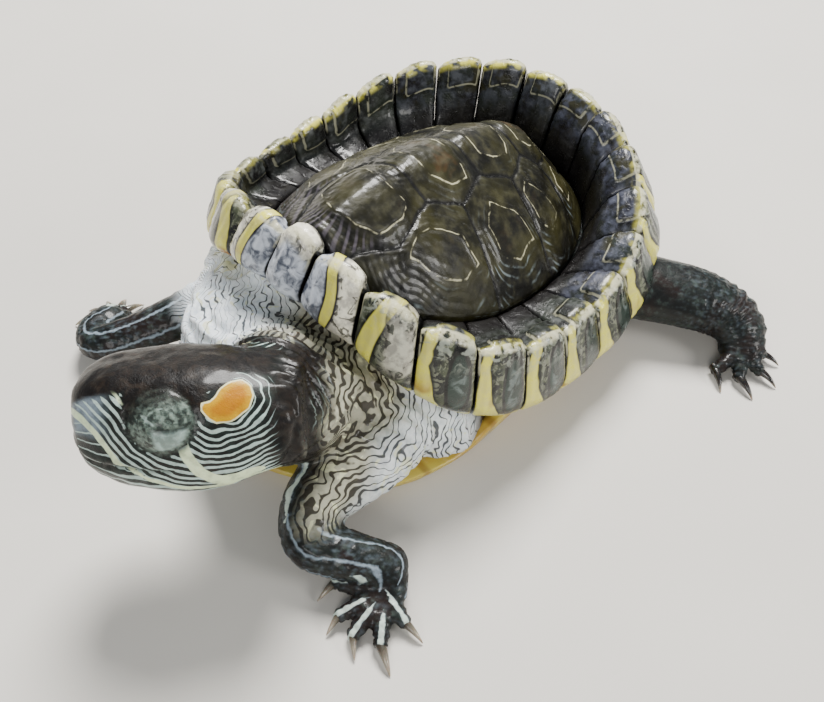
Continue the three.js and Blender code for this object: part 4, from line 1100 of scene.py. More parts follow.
        # soft folds at the root and inside the bends, scales that grow towards the wrist
        root = 1 - smooth(8, length * (0.55 if front else 0.35), s)
        fold = s + 0.9 * lump + 1.2 * np.sin(t * 2 + number)
        move += reach * root * (0.30 * wave(fold, 3.4) + 0.12 * wave(fold, 1.5))
        one, two = cells(s + 0.3 * lump, t * size, 2.1 if front else 1.8, 50 + number)
        bead = smooth(0.05, 0.55, two - one)
        scaly = reach * smooth(length * 0.3, length * 0.62, s) * (1 - hand * 0.3)
        move += scaly * (0.30 * bead - 0.12)
        small, next_small = cells(s, t * size, 1.1, 60 + number)
        move += reach * (1 - scaly) * 0.08 * smooth(0.05, 0.35, next_small - small)
        # pale lines between the scales; on the hind legs they also stand in for a painted reflection
        heighten("scale_gaps_and_sheen", scaly * smooth(0.4, 0.0, two - one) * (1.0 if front else 0.75))
        # the left foreleg is pale inside, behind a pale stripe; the right one is pale at its root
        if name == "foreleg_left":
            inner = smooth(0.3, -0.4, outer + 0.25 * lump) * smooth(length * 0.72, length * 0.55, s + lump)
            pale = reach * np.maximum(inner, root * smooth(0.8, 0.3, outer))
            beside = np.abs(outer + 0.25 * lump - 0.42) * size - 0.5 - 0.2 * grain
            on_arm = (reach > 0.6) & (s > length * 0.22) & (s < length * 0.6)
            stripe = np.where(on_arm, np.minimum(stripe, beside), stripe)
        else:
            pale = reach * smooth(24, 17, s + 2 * lump) * (1.0 if front else 0)
        hard = hard + reach - pale
        part = smooth(0.1, 0.9, reach) * smooth(4, 20, s)
        mark["flow"] = mark["flow"] * (1 - part) + (t * size * 0.8 + 0.3 * s - 20) * part
        lined = (reach > 0.4) & (pale < 0.5)
        mark["run"] = np.where(lined, t * 3 / np.pi + 0.15 * lump + 0.3 * number, mark["run"])
        mark["fill"] = np.where(lined, 0.055 if front else -0.1, mark["fill"])
        if not front:
            ankle = bell(s - length * 0.78, 7)
            move += reach * ankle * 0.35 * wave(s + 0.6 * lump, 2.3)
        for end, _, _ in digit_ends(name):
            back = unit(palm[:2] - end)
            rel = p[:, :2] - end
            run = rel @ back
            off = np.abs(rel @ np.array([-back[1], back[0]]))
            on = (run > -1.5) & (run < 7) & (off < 2.6) & (p[:, 2] < 6.5)
            reach_back, half = (7.6, 0.5) if name == "foreleg_left" else (6, 0.25)
            striped = front & (run > -1.5) & (run < reach_back) & (off < 2.6) & (p[:, 2] < 9)
            thin = half * smooth(reach_back, reach_back * 0.5, run)
            stripe = np.where(striped, np.minimum(stripe, off - thin + 0.2 * grain), stripe)
            mark["fill"] = np.where(on & (off < 2.2), -0.1, mark["fill"])
            move += np.where(on, 0.16 * wave(run, 1.7) * (1 - smooth(1.8, 2.6, off)), 0)
            # webbing: the skin between neighbouring digits dips in
            move -= np.where(on & (run < 4), 0.25 * smooth(1.2, 2.2, off), 0)

    # ---- what is left is the trunk's own skin and the tail
    rest = 1 - np.minimum(taken, 1)
    opening = rest * smooth(-30, -44, p[:, 1])
    mark["soft"] = smooth(-32, -40, p[:, 1]) * (1 - np.clip(hard, 0, 1))
    mark["cool"] = smooth(8, -6, p[:, 0] + 0.35 * (p[:, 1] + 60) + 4 * lump)
    heighten("cool", 0.75 * smooth(27, 36, p[:, 0] + 0.35 * (p[:, 1] + 55) + 3 * lump))
    creases = p[:, 2] + 0.35 * np.abs(p[:, 0]) + 2.5 * lump
    move += opening * (0.45 * wave(creases, 3.6) + 0.15 * wave(creases, 1.4))
    move += 0.05 * grain
    floor = smooth(0.1, 1.2, p[:, 2])
    p = p + n * (move * floor)[:, None]
    p[:, 2] = np.maximum(p[:, 2], 0.02)
    write_points(mesh, p)
    mark["stripe"] = stripe
    store(mesh, mark)
    mesh.polygons.foreach_set("use_smooth", [True] * len(mesh.polygons))


def build_eye(side):
    """An eyeball behind its shut lids: a ball with a slightly raised cornea."""
    ahead, left, up = head_frame()
    centre = HEAD_REAR + ahead * EYE_PLACE[0] + left * EYE_PLACE[1] * side + up * EYE_PLACE[2]
    look = unit(ahead * EYE_LOOK[0] + left * EYE_LOOK[1] * side + up * EYE_LOOK[2])
    other = unit(np.cross(look, ahead))
    third = np.cross(look, other)
    lat = np.linspace(0.06, math.pi - 0.06, 20)
    lon = 2 * np.pi * np.arange(32) / 32
    radius = (EYE_RADIUS - 0.15) * (1 + 0.02 * bell(lat, 0.5))
    rings = centre + (radius * np.cos(lat))[:, None, None] * look + (radius * np.sin(lat))[:, None, None] * (
        np.cos(lon)[None, :, None] * other + np.sin(lon)[None, :, None] * third)
    name = "eyeball_left" if side > 0 else "eyeball_right"
    pole = np.concatenate([np.repeat(lat, len(lon)), [0, math.pi]])
    return fix_islands(make_piece(name, with_ends(rings), tube_faces(*rings.shape[:2]), {"pole": pole}))


def claw_roots():
    """Root places of the eighteen claws, their headings and lengths, and which are hind ones."""
    roots, turns, lengths, hind = [], [], [], []
    for name in LIMBS:
        for end, tip, back in digit_ends(name):
            root = end + back * CLAW_SEAT
            roots.append((*root, CLAW_HEIGHT))
            turns.append(math.atan2(-back[1], -back[0]))
            lengths.append(float(np.linalg.norm(root - tip)))
            hind.append(name.startswith("hind"))
    return roots, turns, lengths, hind


def claw_tree(material):
    """Node group: one tapering, down-curved horn claw on every root point."""
    tree = bpy.data.node_groups.new("Claws on digit ends", "GeometryNodeTree")
    face = tree.interface
    face.new_socket("Geometry", in_out="INPUT", socket_type="NodeSocketGeometry")
    sizes = {}
    for name, value in (("Root radius", 0.00115), ("Tip radius", 0.00012), ("Arch", 0.0009),
                        ("Drop", 0.0016)):
        socket = face.new_socket(name, in_out="INPUT", socket_type="NodeSocketFloat")
        socket.default_value, socket.subtype = value, "DISTANCE"
        sizes[name] = socket.identifier
    face.new_socket("Geometry", in_out="OUTPUT", socket_type="NodeSocketGeometry")

    def add(kind, inputs=None, **settings):
        return add_node(tree, kind, inputs, **settings)

    given = add("NodeGroupInput").outputs
    length = 0.0066
    middle = add("ShaderNodeCombineXYZ", {0: length * 0.55, 2: given["Arch"]}).outputs[0]
    drop = add("ShaderNodeMath", {0: given["Drop"], 1: -1.0}, operation="MULTIPLY").outputs[0]
    end = add("ShaderNodeCombineXYZ", {0: length, 2: drop}).outputs[0]
    spine = add("GeometryNodeCurveQuadraticBezier", {
        "Resolution": 16, "Start": (0, 0, 0), "Middle": middle, "End": end}).outputs[0]
    place = add("GeometryNodeSplineParameter").outputs["Factor"]
    spine = add("GeometryNodeStoreNamedAttribute", {"Geometry": spine, "Name": "to_tip", "Value": place},
                data_type="FLOAT", domain="POINT").outputs[0]
    taper = add("ShaderNodeMath", {0: place, 1: 1.35}, operation="POWER").outputs[0]
    radius = add("ShaderNodeMapRange", {0: taper, 3: given["Root radius"], 4: given["Tip radius"]}).outputs[0]
    round_ = add("GeometryNodeCurvePrimitiveCircle", {"Resolution": 14, "Radius": 1.0}).outputs[0]
    sweep = {"Curve": spine, "Profile Curve": round_, "Fill Caps": True}
    probe = tree.nodes.new("GeometryNodeCurveToMesh")
    if "Scale" in probe.inputs:
        sweep["Scale"] = radius
    else:
        sweep["Curve"] = add("GeometryNodeSetCurveRadius", {"Curve": spine, "Radius": radius}).outputs[0]
    tree.nodes.remove(probe)
    claw = add("GeometryNodeCurveToMesh", sweep).outputs[0]
    claw = add("GeometryNodeSetShadeSmooth", {0: claw}).outputs[0]
    turn = add("GeometryNodeInputNamedAttribute", {"Name": "heading"}, data_type="FLOAT").outputs[0]
    spin = add("ShaderNodeCombineXYZ", {2: turn}).outputs[0]
    size = add("GeometryNodeInputNamedAttribute", {"Name": "size"}, data_type="FLOAT").outputs[0]
    claws = add("GeometryNodeInstanceOnPoints", {
        "Points": given["Geometry"], "Instance": claw, "Rotation": spin, "Scale": size}).outputs[0]
    real = add("GeometryNodeRealizeInstances", {0: claws}).outputs[0]
    done = add("GeometryNodeSetMaterial", {"Geometry": real, "Material": material}).outputs[0]
    add("NodeGroupOutput", {0: done})
    return tree, sizes, length


def build_claws(material, root_radius):
    roots, turns, lengths, hind = claw_roots()
    tree, sizes, length = claw_tree(material)
    seeds = make_piece("claw_roots", roots, [], {
        "heading": turns, "size": np.array(lengths) * MM / length, "hind": hind})
    grow = seeds.modifiers.new("claws", "NODES")
    grow.node_group = tree
    grow[sizes["Root radius"]] = root_radius
    mesh = grown_mesh(seeds)
    mesh.name = "claws"
    return fix_islands(place("claws", mesh))


# ------------------------------------------------------------------ finishes
def wet_horn(colours):
    """Wet keratin scutes: near-black olive, a water gloss, painted highlights along the growth ridges, smooth
    areolae.
    """
    m = Shade("Wet keratin, dark olive")
    seam, areola, growth = m.value("seam"), m.value("areola"), m.value("growth")
    cloud, mid, fine = m.noise(11, 3), m.noise(3.2, 4), m.noise(0.7, 3)
    colour = m.mix(m.ramp(cloud, 0.35, 0.68), colours.dome_dark, colours.dome_olive)
    stain = m.times(m.ramp(m.noise(6.5, 2, distortion=0.6), 0.52, 0.66), m.ramp(areola, 0.2, 1.6))
    stain = m.times(stain, m.plus(m.value("keel"), 0.25))
    colour = m.mix(m.times(stain, 0.6), colour, colours.dome_stain)
    colour = m.mix(m.times(m.ramp(mid, 0.45, 0.75), 0.38), colour, "#48462c")
    # purple-grey radial striae on the front scutes, partly a painted grey-violet sheen
    streak = m.math("SINE", m.times(m.value("spoke"), 38.0))
    streak = m.times(m.ramp(streak, 0.0, 1.0), m.ramp(areola, 0.0, -2.5))
    streak = m.times(streak, m.ramp(m.math("SINE", m.value("spoke")), -0.2, -0.8))
    colour = m.mix(m.times(streak, m.times(m.value("striate"), 0.4)), colour, "#68616c")
    # painted highlight: bluish-white lines on the growth ridges, strongest on the dome's lower flanks
    step = m.math("FRACT", growth)
    line = m.times(m.ramp(step, 0.62, 0.8), m.ramp(step, 1.0, 0.86))
    line = m.times(m.times(line, m.ramp(areola, -0.3, -1.0)), m.ramp(mid, 0.38, 0.6))
    line = m.times(line, m.ramp(m.noise(9, 2), 0.45, 0.62))
    colour = m.mix(m.times(line, m.plus(m.times(m.value("low"), 0.5), 0.06)), colour,
                   "#8d9a9c")
    edge = m.ramp(m.math("ABSOLUTE", m.plus(areola, -0.05)), 0.2, 0.05)
    edge = m.times(edge, m.ramp(mid, 0.42, 0.6))
    colour = m.mix(m.times(edge, 0.75), colour, colours.dome_line)
    colour = m.mix(m.ramp(seam, 0.7, 0.15), colour, "#0b0a08")
    height = m.plus(m.times(fine, 0.5), m.times(m.noise(0.28, 2), 0.3))
    height = m.plus(height, m.times(m.times(step, m.ramp(areola, 0, -0.6)), 0.8))
    rough = m.ramp(mid, 0.3, 0.7, 0.3, 0.5)
    return m.finish(**{"Base Color": colour, "Roughness": rough, "IOR": 1.54, "Coat Weight": 0.28,
                       "Coat Roughness": 0.07, "Coat IOR": 1.33, "Specular IOR Level": 0.25,
                       "Normal": m.bump(height, 0.12, 0.7)})


def rim_horn(colours):
    """Keratin of the rim: black-green, lemon bars with dark edges, dark eyes, peeling cream, with painted
    glints, highlights, sky sheen and valley shade.
    """
    m = Shade("Keratin rim plates, barred yellow")
    up, bar, spot, pale = m.value("up"), m.value("bar"), m.value("spot"), m.value("pale")
    near, cold, side, tile = m.value("wide"), m.value("cold"), m.value("side"), m.value("tile")
    cloud, mid, fine = m.noise(7, 3), m.noise(2.2, 4), m.noise(0.6, 3)
    dark = m.mix(m.ramp(cloud, 0.35, 0.7), colours.rim_dark, colours.rim_green)
    # outer wall: a yellow bar, a dark glossy eye with a black ring, pale streaks between them
    outer = m.mix(m.ramp(mid, 0.42, 0.66), dark, "#4a4f3c")
    streak = m.ramp(m.noise(2.6, 3, distortion=1.6), 0.5, 0.56)
    outer = m.mix(m.times(m.times(streak, m.ramp(up, 0.15, 0.6)), 0.5), outer, "#8f927a")
    outer = m.mix(m.times(m.ramp(bar, 1.1, 0.3), 0.9), outer, "#0c0c08")
    yellow = m.mix(m.ramp(mid, 0.35, 0.65), colours.yellow, "#cdc66a")
    amber = m.times(m.ramp(up, 0.6, 0.15), m.ramp(m.noise(13, 1), 0.56, 0.62))
    yellow = m.mix(amber, yellow, "#96611f")
    outer = m.mix(m.ramp(bar, 0.2, -0.2), outer, yellow)
    base = m.times(m.ramp(up, 0.2, 0.1), m.ramp(mid, 0.15, 0.4))
    outer = m.mix(base, outer, yellow)
    outer = m.mix(m.ramp(spot, 3.4, 3.1), outer, "#060604")
    outer = m.mix(m.times(m.ramp(spot, 2.6, 2.3), m.ramp(mid, 0.3, 0.6, 0.6, 1.0)), outer, "#223029")
    # painted highlight: glints on the dark eyes
    glint = m.times(m.ramp(m.noise(3.2, 4, distortion=0.8), 0.5, 0.64), m.ramp(spot, 2.4, 1.2))
    outer = m.mix(m.times(glint, 0.55), outer, "#76827e")
    flake = m.times(m.ramp(up, 0.6, 1.0), m.ramp(m.noise(2.4, 4, distortion=0.8), 0.5, 0.62))
    # pale peeling flakes; their stronger share on the left plates is a painted sheen
    outer = m.mix(m.times(flake, m.math("MULTIPLY_ADD", near, 0.45, 0.2)), outer, "#a6ac9e")
    # ledge and valley, with painted shade deepening down the inner wall towards the valley floor
    ledge = m.mix(m.times(m.ramp(mid, 0.45, 0.7), m.ramp(up, 2.9, 1.4)), dark, "#4b4e4c")
    # painted reflection: a blue-violet sky sheen on the inner walls of the rear plates
    sheen = m.times(m.value("painted_sky_sheen"), m.times(m.ramp(mid, 0.3, 0.7), m.ramp(up, 2.6, 2.0)))
    ledge = m.mix(m.times(sheen, 0.7), ledge, "#4d5064")
    ledge = m.mix(m.ramp(up, 1.9, 2.6), ledge, "#151313")
    ledge = m.mix(m.times(m.ramp(m.noise(5, 2), 0.55, 0.65), m.ramp(up, 2.2, 1.7)), ledge, "#2b2a1c")
    frame_line = m.times(m.ramp(m.math("ABSOLUTE", tile), 0.3, 0.08), m.ramp(mid, 0.35, 0.5))
    ledge = m.mix(m.times(frame_line, 0.65), ledge, "#b9b79c")
    lip = m.times(m.ramp(up, 1.28, 1.1), m.ramp(m.noise(4, 2), 0.4, 0.55))
    lip = m.times(lip, m.value("lip"))
    far = m.math("SUBTRACT", 1.0, near)
    ledge = m.mix(m.times(lip, m.math("MULTIPLY_ADD", far, 0.5, 0.35)), ledge, colours.yellow)
    colour = m.mix(m.ramp(up, 1.0, 1.08), outer, ledge)
    # front plates: slate-blue barrels, cream on their rear halves, flaked dark in places
    slate = m.mix(m.ramp(m.noise(2.4, 4, distortion=0.8), 0.35, 0.65), "#4a4f5b", "#c8ced8")
    colour = m.mix(m.times(cold, m.ramp(up, 2.2, 1.5)), colour, slate)
    cream = m.mix(m.ramp(mid, 0.4, 0.62), "#b4b0a2", "#efebd4")
    cream = m.mix(m.times(m.ramp(m.noise(3, 3, distortion=1.0), 0.54, 0.6), 0.85), cream, "#26251f")
    colour = m.mix(m.times(pale, m.ramp(up, 1.9, 1.3)), colour, cream)
    front = m.times(m.math("ADD", cold, pale, clamp=True), m.ramp(up, 1.5, 1.2))
    colour = m.mix(m.times(front, m.ramp(bar, 0.9, 0.2)), colour, "#1d1a20")
    colour = m.mix(m.times(front, m.ramp(bar, 0.15, -0.15)), colour, yellow)
    # a thin painted highlight follows the crest and the upper ends of the seams
    crest = m.ramp(m.math("ABSOLUTE", m.plus(up, -1.03)), 0.06, 0.02)
    ends = m.times(m.ramp(side, 0.75, 0.5), m.times(m.ramp(up, 0.6, 0.9), m.ramp(up, 1.6, 1.3)))
    painted_crest_highlight = m.times(m.math("MAXIMUM", crest, ends), m.ramp(mid, 0.38, 0.52))
    painted_crest_highlight = m.times(painted_crest_highlight, m.value("lip"))
    colour = m.mix(m.times(painted_crest_highlight, 0.7), colour, "#cdc9a8")
    colour = m.mix(m.ramp(side, 0.42, 0.12), colour, "#080706")
    colour = m.mix(m.ramp(up, 3.05, 3.3), colour, "#a58a45")
    height = m.plus(m.times(fine, 0.5), m.times(m.noise(0.3, 2), 0.35))
    height = m.plus(height, m.times(flake, 0.6))
    rough = m.ramp(mid, 0.3, 0.75, 0.24, 0.44)
    return m.finish(**{"Base Color": colour, "Roughness": rough, "IOR": 1.54, "Coat Weight": 0.5,
                       "Coat Roughness": 0.07, "Coat IOR": 1.33, "Specular IOR Level": 0.25,
                       "Normal": m.bump(height, 0.14, 0.7)})


def belly_horn(colours):
    """Keratin of the plastron: smooth warm yellow, smoky blotches, amber along the seams."""
    m = Shade("Keratin plastron, yellow")
    mid = m.noise(3, 4)
    colour = m.mix(m.ramp(m.noise(12, 3), 0.35, 0.7), colours.plastron, "#b48a34")
    colour = m.mix(m.times(m.ramp(mid, 0.5, 0.75), 0.4), colour, "#d8c68c")
    blot = m.times(m.ramp(m.value("blot"), 5.5, 3.5), m.ramp(m.value("height"), 0.0014, 0.0006))
    colour = m.mix(m.times(blot, 0.8), colour, "#2c271c")
    colour = m.mix(m.times(m.ramp(m.value("seam"), 1.6, 0.2), 0.6), colour, "#7a4a1c")
    height = m.plus(m.times(mid, 0.6), m.times(m.noise(0.5, 3), 0.4))
    return m.finish(**{"Base Color": colour, "Roughness": m.ramp(mid, 0.3, 0.7, 0.3, 0.46), "IOR": 1.54,
                       "Coat Weight": 0.2, "Coat Roughness": 0.2, "Normal": m.bump(height, 0.15, 0.5)})


def turtle_skin(colours):
    """Damp reptile skin: black-green and striped outside, pale and dark-veined in the folds, with painted
    shade in its creases and holes and a painted sheen on the dark skin.
    """
    m = Shade("Damp turtle skin, striped")
    green, soft, dark = m.value("green"), m.value("soft"), m.value("dark")
    stripe, red, flow = m.value("stripe"), m.value("red"), m.value("flow")
    cloud, mid, fine = m.noise(6, 3), m.noise(1.9, 4), m.noise(0.45, 3)
    ground = m.mix(m.ramp(cloud, 0.35, 0.68), colours.skin_dark, "#151a17")
    ground = m.mix(m.times(m.ramp(m.noise(10, 2), 0.48, 0.62), 0.7), ground, "#1e1310")
    # lighter blue-grey mottle: partly random tone, partly a painted sheen of wet skin
    ground = m.mix(m.times(m.ramp(mid, 0.5, 0.75), 0.5), ground, "#434f4a")
    ground = m.mix(m.times(green, m.ramp(mid, 0.4, 0.7, 0.2, 0.7)), ground, colours.head_olive)
    ground = m.mix(m.times(m.value("eye"), m.ramp(m.noise(1.1, 3), 0.38, 0.62, 0.15, 1.0)), ground,
                   "#748479")
    ground = m.mix(m.times(m.value("snout"), m.ramp(mid, 0.3, 0.6, 0.35, 0.85)), ground, "#8795a0")
    bold = m.ramp(m.plus(stripe, m.times(m.plus(mid, -0.5), 0.35)), 0.13, -0.13)
    count = m.plus(m.value("run"), m.times(m.noise(1.6, 2), 0.25))
    fine_line = m.math("ABSOLUTE", m.math("SUBTRACT", m.math("FRACT", count), 0.5))
    fine_line = m.ramp(m.math("SUBTRACT", fine_line, m.value("fill")), 0.05, -0.05)
    line = m.math("MAXIMUM", bold, m.times(fine_line, m.ramp(m.value("fill"), 0.0, 0.05)))
    cream = m.times(bold, m.math("SUBTRACT", 1.0, m.value("eye")))
    pale = m.mix(green, m.mix(bold, "#8795a0", "#c1d0c4"), m.mix(cream, colours.stripe, colours.band))
    # pale lines between the scales, also a painted reflection on the hind legs
    scale_gaps_and_sheen = m.times(m.value("scale_gaps_and_sheen"), m.ramp(mid, 0.35, 0.6, 0.08, 0.38))
    ground = m.mix(scale_gaps_and_sheen, ground, "#66727c")
    colour = m.mix(m.times(line, m.ramp(mid, 0.3, 0.6, 0.65, 0.95)), ground, pale)
    crown = m.mix(m.ramp(m.noise(2.6, 4, distortion=1.0), 0.4, 0.7), colours.crown, "#241d17")
    colour = m.mix(m.value("crown"), colour, crown)
    lid = m.mix(m.ramp(mid, 0.35, 0.65), "#71817a", "#9db0a8")
    colour = m.mix(m.value("lid"), colour, lid)
    # folds: pale skin with dark winding veins that run along the flow
    wander = m.plus(m.times(m.noise(9, 1), 14.0), m.times(m.noise(3.6, 1), 9.0))
    wind = m.plus(m.times(flow, 2.0), wander)
    cool = m.value("cool")
    winding = m.math("ABSOLUTE", m.math("SINE", wind))
    veins = m.math("SUBTRACT", winding, m.ramp(m.noise(7, 1), 0.35, 0.7, 0.45, 0.85))
    vein = m.ramp(m.plus(veins, m.times(cool, 0.34)), 0.12, -0.14)
    fold = m.mix(cool, colours.skin_pale, "#f4fbff")
    fold = m.mix(m.times(m.ramp(mid, 0.4, 0.7), 0.5), fold, m.mix(cool, "#6f7263", "#a9b8c6"))
    worn = m.times(m.ramp(m.noise(13, 2), 0.5, 0.66), m.math("SUBTRACT", 1.0, cool))
    fold = m.mix(m.times(worn, 0.6), fold, "#54493c")
    fold = m.mix(m.times(m.ramp(m.noise(3.6, 1, distortion=1.2), 0.62, 0.68), 0.7), fold, "#dfe0b6")
    fold = m.mix(m.times(vein, 0.92), fold, m.mix(cool, "#231d16", "#2b3038"))
    colour = m.mix(soft, colour, fold)
    patch = m.mix(m.ramp(red, 0.25, 1.5), colours.patch_edge, colours.patch)
    patch = m.mix(m.times(m.ramp(mid, 0.5, 0.7), 0.35), patch, "#864400")
    colour = m.mix(m.ramp(red, -0.34, -0.2), colour, "#d9d7a8")
    colour = m.mix(m.ramp(red, -0.1, 0.1), colour, patch)
    # painted shade: creases, the eye's slit and rim, the mouth's groove, the nostrils and the neck's ring
    # troughs
    colour = m.mix(m.times(dark, 0.85), colour, "#0a0a08")
    height = m.plus(m.times(fine, 0.6), m.times(m.noise(0.22, 2), 0.4))
    height = m.plus(height, m.times(mid, 0.8))
    rough = m.ramp(mid, 0.3, 0.7, 0.36, 0.56)
    return m.finish(**{"Base Color": colour, "Roughness": rough, "IOR": 1.45, "Subsurface Weight": 0.04,
                       "Subsurface Scale": 0.001, "Coat Weight": 0.35, "Coat Roughness": 0.15,
                       "Coat IOR": 1.33, "Specular IOR Level": 0.18, "Normal": m.bump(height, 0.16, 0.9)})


def claw_horn(colours):
    """Claw keratin: cloudy brown horn, clearing to a pale tip, with fine lengthwise grain."""
    m = Shade("Keratin claw, clouded")
    to_tip = m.value("to_tip")
    mid = m.noise(1.2, 3)
    colour = m.mix(m.ramp(to_tip, 0.15, 0.85), colours.claw_root, colours.claw_tip)
    colour = m.mix(m.times(m.ramp(mid, 0.45, 0.65), 0.5), colour, "#3a3020")
    colour = m.mix(m.times(m.value("hind"), m.ramp(to_tip, 1.0, 0.7)), colour, "#16120f")
    return m.finish(**{"Base Color": colour, "Roughness": m.ramp(mid, 0.3, 0.7, 0.2, 0.38), "IOR": 1.54,
                       "Subsurface Weight": 0.2, "Subsurface Scale": 0.0015, "Coat Weight": 0.3,
                       "Coat Roughness": 0.1, "Normal": m.bump(m.noise(0.3, 2), 0.05, 0.5)})


def eye_glass(_colours):
    """A wet eyeball: black pupil, yellow-green iris crossed by a dark bar, glassy surface."""
    m = Shade("Wet cornea over green iris")
    pole = m.value("pole")
    iris = m.mix(m.ramp(m.noise(0.7, 4), 0.4, 0.62), "#7d8a35", "#2c3312")
    colour = m.mix(m.ramp(pole, 0.30, 0.34), "#050505", iris)
    colour = m.mix(m.ramp(pole, 0.62, 0.72), colour, "#1b1a14")
    return m.finish(**{"Base Color": colour, "Roughness": 0.12, "IOR": 1.38, "Coat Weight": 1.0,
                       "Coat Roughness": 0.03})


def pale_floor(colour):
    """Matt painted board: even and pale, with a faint tooth."""
    m = Shade("Matt painted board")
    tone = m.mix(m.ramp(m.noise(60, 2), 0.3, 0.7), colour, tuple(c * 0.96 for c in colour[:3]) + (1,))
    return m.finish(**{"Base Color": tone, "Roughness": 0.7, "Normal": m.bump(m.noise(1.5, 2), 0.03, 0.3)})


# ------------------------------------------------------------------ what a user may change
def colour(name, description, hex_colour):
    return bpy.props.FloatVectorProperty(name=name, description=description, subtype="COLOR", size=4,
                                         min=0, max=1, default=linear(hex_colour))


class TurtleColours(bpy.types.PropertyGroup):
    dome_dark: colour("Dome dark", "Darkest horn of the dome", "#0d0c07")
    dome_olive: colour("Dome olive", "Lighter olive horn of the dome", "#2c2a14")
    dome_stain: colour("Dome stain", "Warm patches inside the areolae", "#3b2b16")
    dome_line: colour("Areola line", "Thin pale line round each areola", "#c2bd9c")
    rim_dark: colour("Rim dark", "Darkest horn of the rim", "#171617")
    rim_green: colour("Rim green", "Olive-green horn of the rim", "#2a2f28")
    yellow: colour("Bars", "Yellow bars and lower edge of the rim", "#dbd555")
    plastron: colour("Plastron", "Ground colour of the belly plate", "#c6b44a")
    skin_dark: colour("Skin dark", "Black-green ground of head and limbs", "#090b0a")
    head_olive: colour("Head green", "Dark green cast between the head's lines", "#17221e")
    crown: colour("Crown", "Brown-black top of the head", "#0c0908")
    stripe: colour("Fine lines", "Fine pale lines on the head and neck", "#b2c6be")
    band: colour("Bold bands", "Cream-green bands on the cheek and the lip", "#dcebc0")
    skin_pale: colour("Fold skin", "Pale skin in the folds of neck and shoulders", "#aaa893")
    patch: colour("Ear patch", "Orange patch behind the eye", "#a66c00")
    patch_edge: colour("Ear patch edge", "Yellower border of the ear patch", "#bb8e00")
    claw_root: colour("Claw root", "Claw horn at its root", "#211c16")
    claw_tip: colour("Claw tip", "Claw horn at its tip", "#938a77")
    floor: colour("Floor", "Painted board under the model", "#cdc9c1")


class TurtleSizes(bpy.types.PropertyGroup):
    skin_grain: bpy.props.FloatProperty(name="Skin grid", description="Grid in which the skin is fused, mm",
                                        default=0.72, min=0.5, max=2.0)
    claw_radius: bpy.props.FloatProperty(name="Claw radius", description="Claw radius at its root",
                                         default=0.00115, min=0.0005, max=0.002, subtype="DISTANCE",
                                         unit="LENGTH")
    floor_width: bpy.props.FloatProperty(name="Floor width", description="Side of the board underneath",
                                         default=3.0, min=0.3, subtype="DISTANCE", unit="LENGTH")
    light: bpy.props.FloatProperty(name="Light", description="Brightness of the soft lights",
                                   default=1.0, min=0.0, subtype="FACTOR")


# ------------------------------------------------------------------ one operator for each piece
def dress(piece, material, slot, *nodes):
    """Gives a finished piece its material and its body, and hides the CAD nodes that it stands for."""
    piece.data.materials.clear()
    piece.data.materials.append(material)
    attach(piece, "root")
    if nodes:
        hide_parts(*nodes)


class TURTLE_OT_dome(bpy.types.Operator):
    """Build the thirteen horn scutes of the dome"""
    bl_idname = "turtle.dome"
    bl_label = "Dome scutes"

    def execute(self, context):
        nodes = [f"vertebral_{k}" for k in range(1, 6)]
        nodes += [f"costal_{side}_{k}" for side in ("left", "right") for k in range(1, 5)]
        dress(build_dome(), wet_horn(context.scene.turtle_colours), "carapace_horn", *nodes)
        return {"FINISHED"}


class TURTLE_OT_rim(bpy.types.Operator):
    """Build the nuchal and the twenty-four marginal plates of the upturned rim"""
    bl_idname = "turtle.rim"
    bl_label = "Rim plates"

    def execute(self, context):
        nodes = [f"marginal_{side}_{k:02d}" for side in ("left", "right") for k in range(1, 13)]
        dress(build_rim(), rim_horn(context.scene.turtle_colours), "rim_horn", "nuchal", *nodes)
        return {"FINISHED"}


class TURTLE_OT_plastron(bpy.types.Operator):
    """Build the yellow belly plate with its bridges"""
    bl_idname = "turtle.plastron"
    bl_label = "Plastron"

    def execute(self, context):
        dress(build_plastron(), belly_horn(context.scene.turtle_colours), "plastron_horn", "plastron")
        return {"FINISHED"}


class TURTLE_OT_skin(bpy.types.Operator):
    """Build one skin over the head, neck, limbs, tail and trunk"""
    bl_idname = "turtle.skin"
    bl_label = "Skin"

    def execute(self, context):
        mesh = build_skin_body(context.scene.turtle_sizes.skin_grain)
        mesh.name = "skin"
        shape_skin(mesh)
        nodes = ["trunk", "neck", "head", "jaw", "tail"]
        nodes += [node for limb in LIMBS.values() for node in limb["nodes"]]
        dress(place("skin", mesh), turtle_skin(context.scene.turtle_colours), "skin", *nodes)
        return {"FINISHED"}


class TURTLE_OT_eyes(bpy.types.Operator):
    """Build the eyeballs behind the shut lids"""
    bl_idname = "turtle.eyes"
    bl_label = "Eyes"

    def execute(self, context):
        finish = eye_glass(context.scene.turtle_colours)
        for side, node in ((1, "eye_left"), (-1, "eye_right")):
            dress(build_eye(side), finish, "eye", node)
        return {"FINISHED"}


class TURTLE_OT_claws(bpy.types.Operator):
    """Grow the eighteen claws on the digit ends"""
    bl_idname = "turtle.claws"
    bl_label = "Claws"

    def execute(self, context):
        finish = claw_horn(context.scene.turtle_colours)
        dress(build_claws(finish, context.scene.turtle_sizes.claw_radius), finish, "rim_horn")
        return {"FINISHED"}


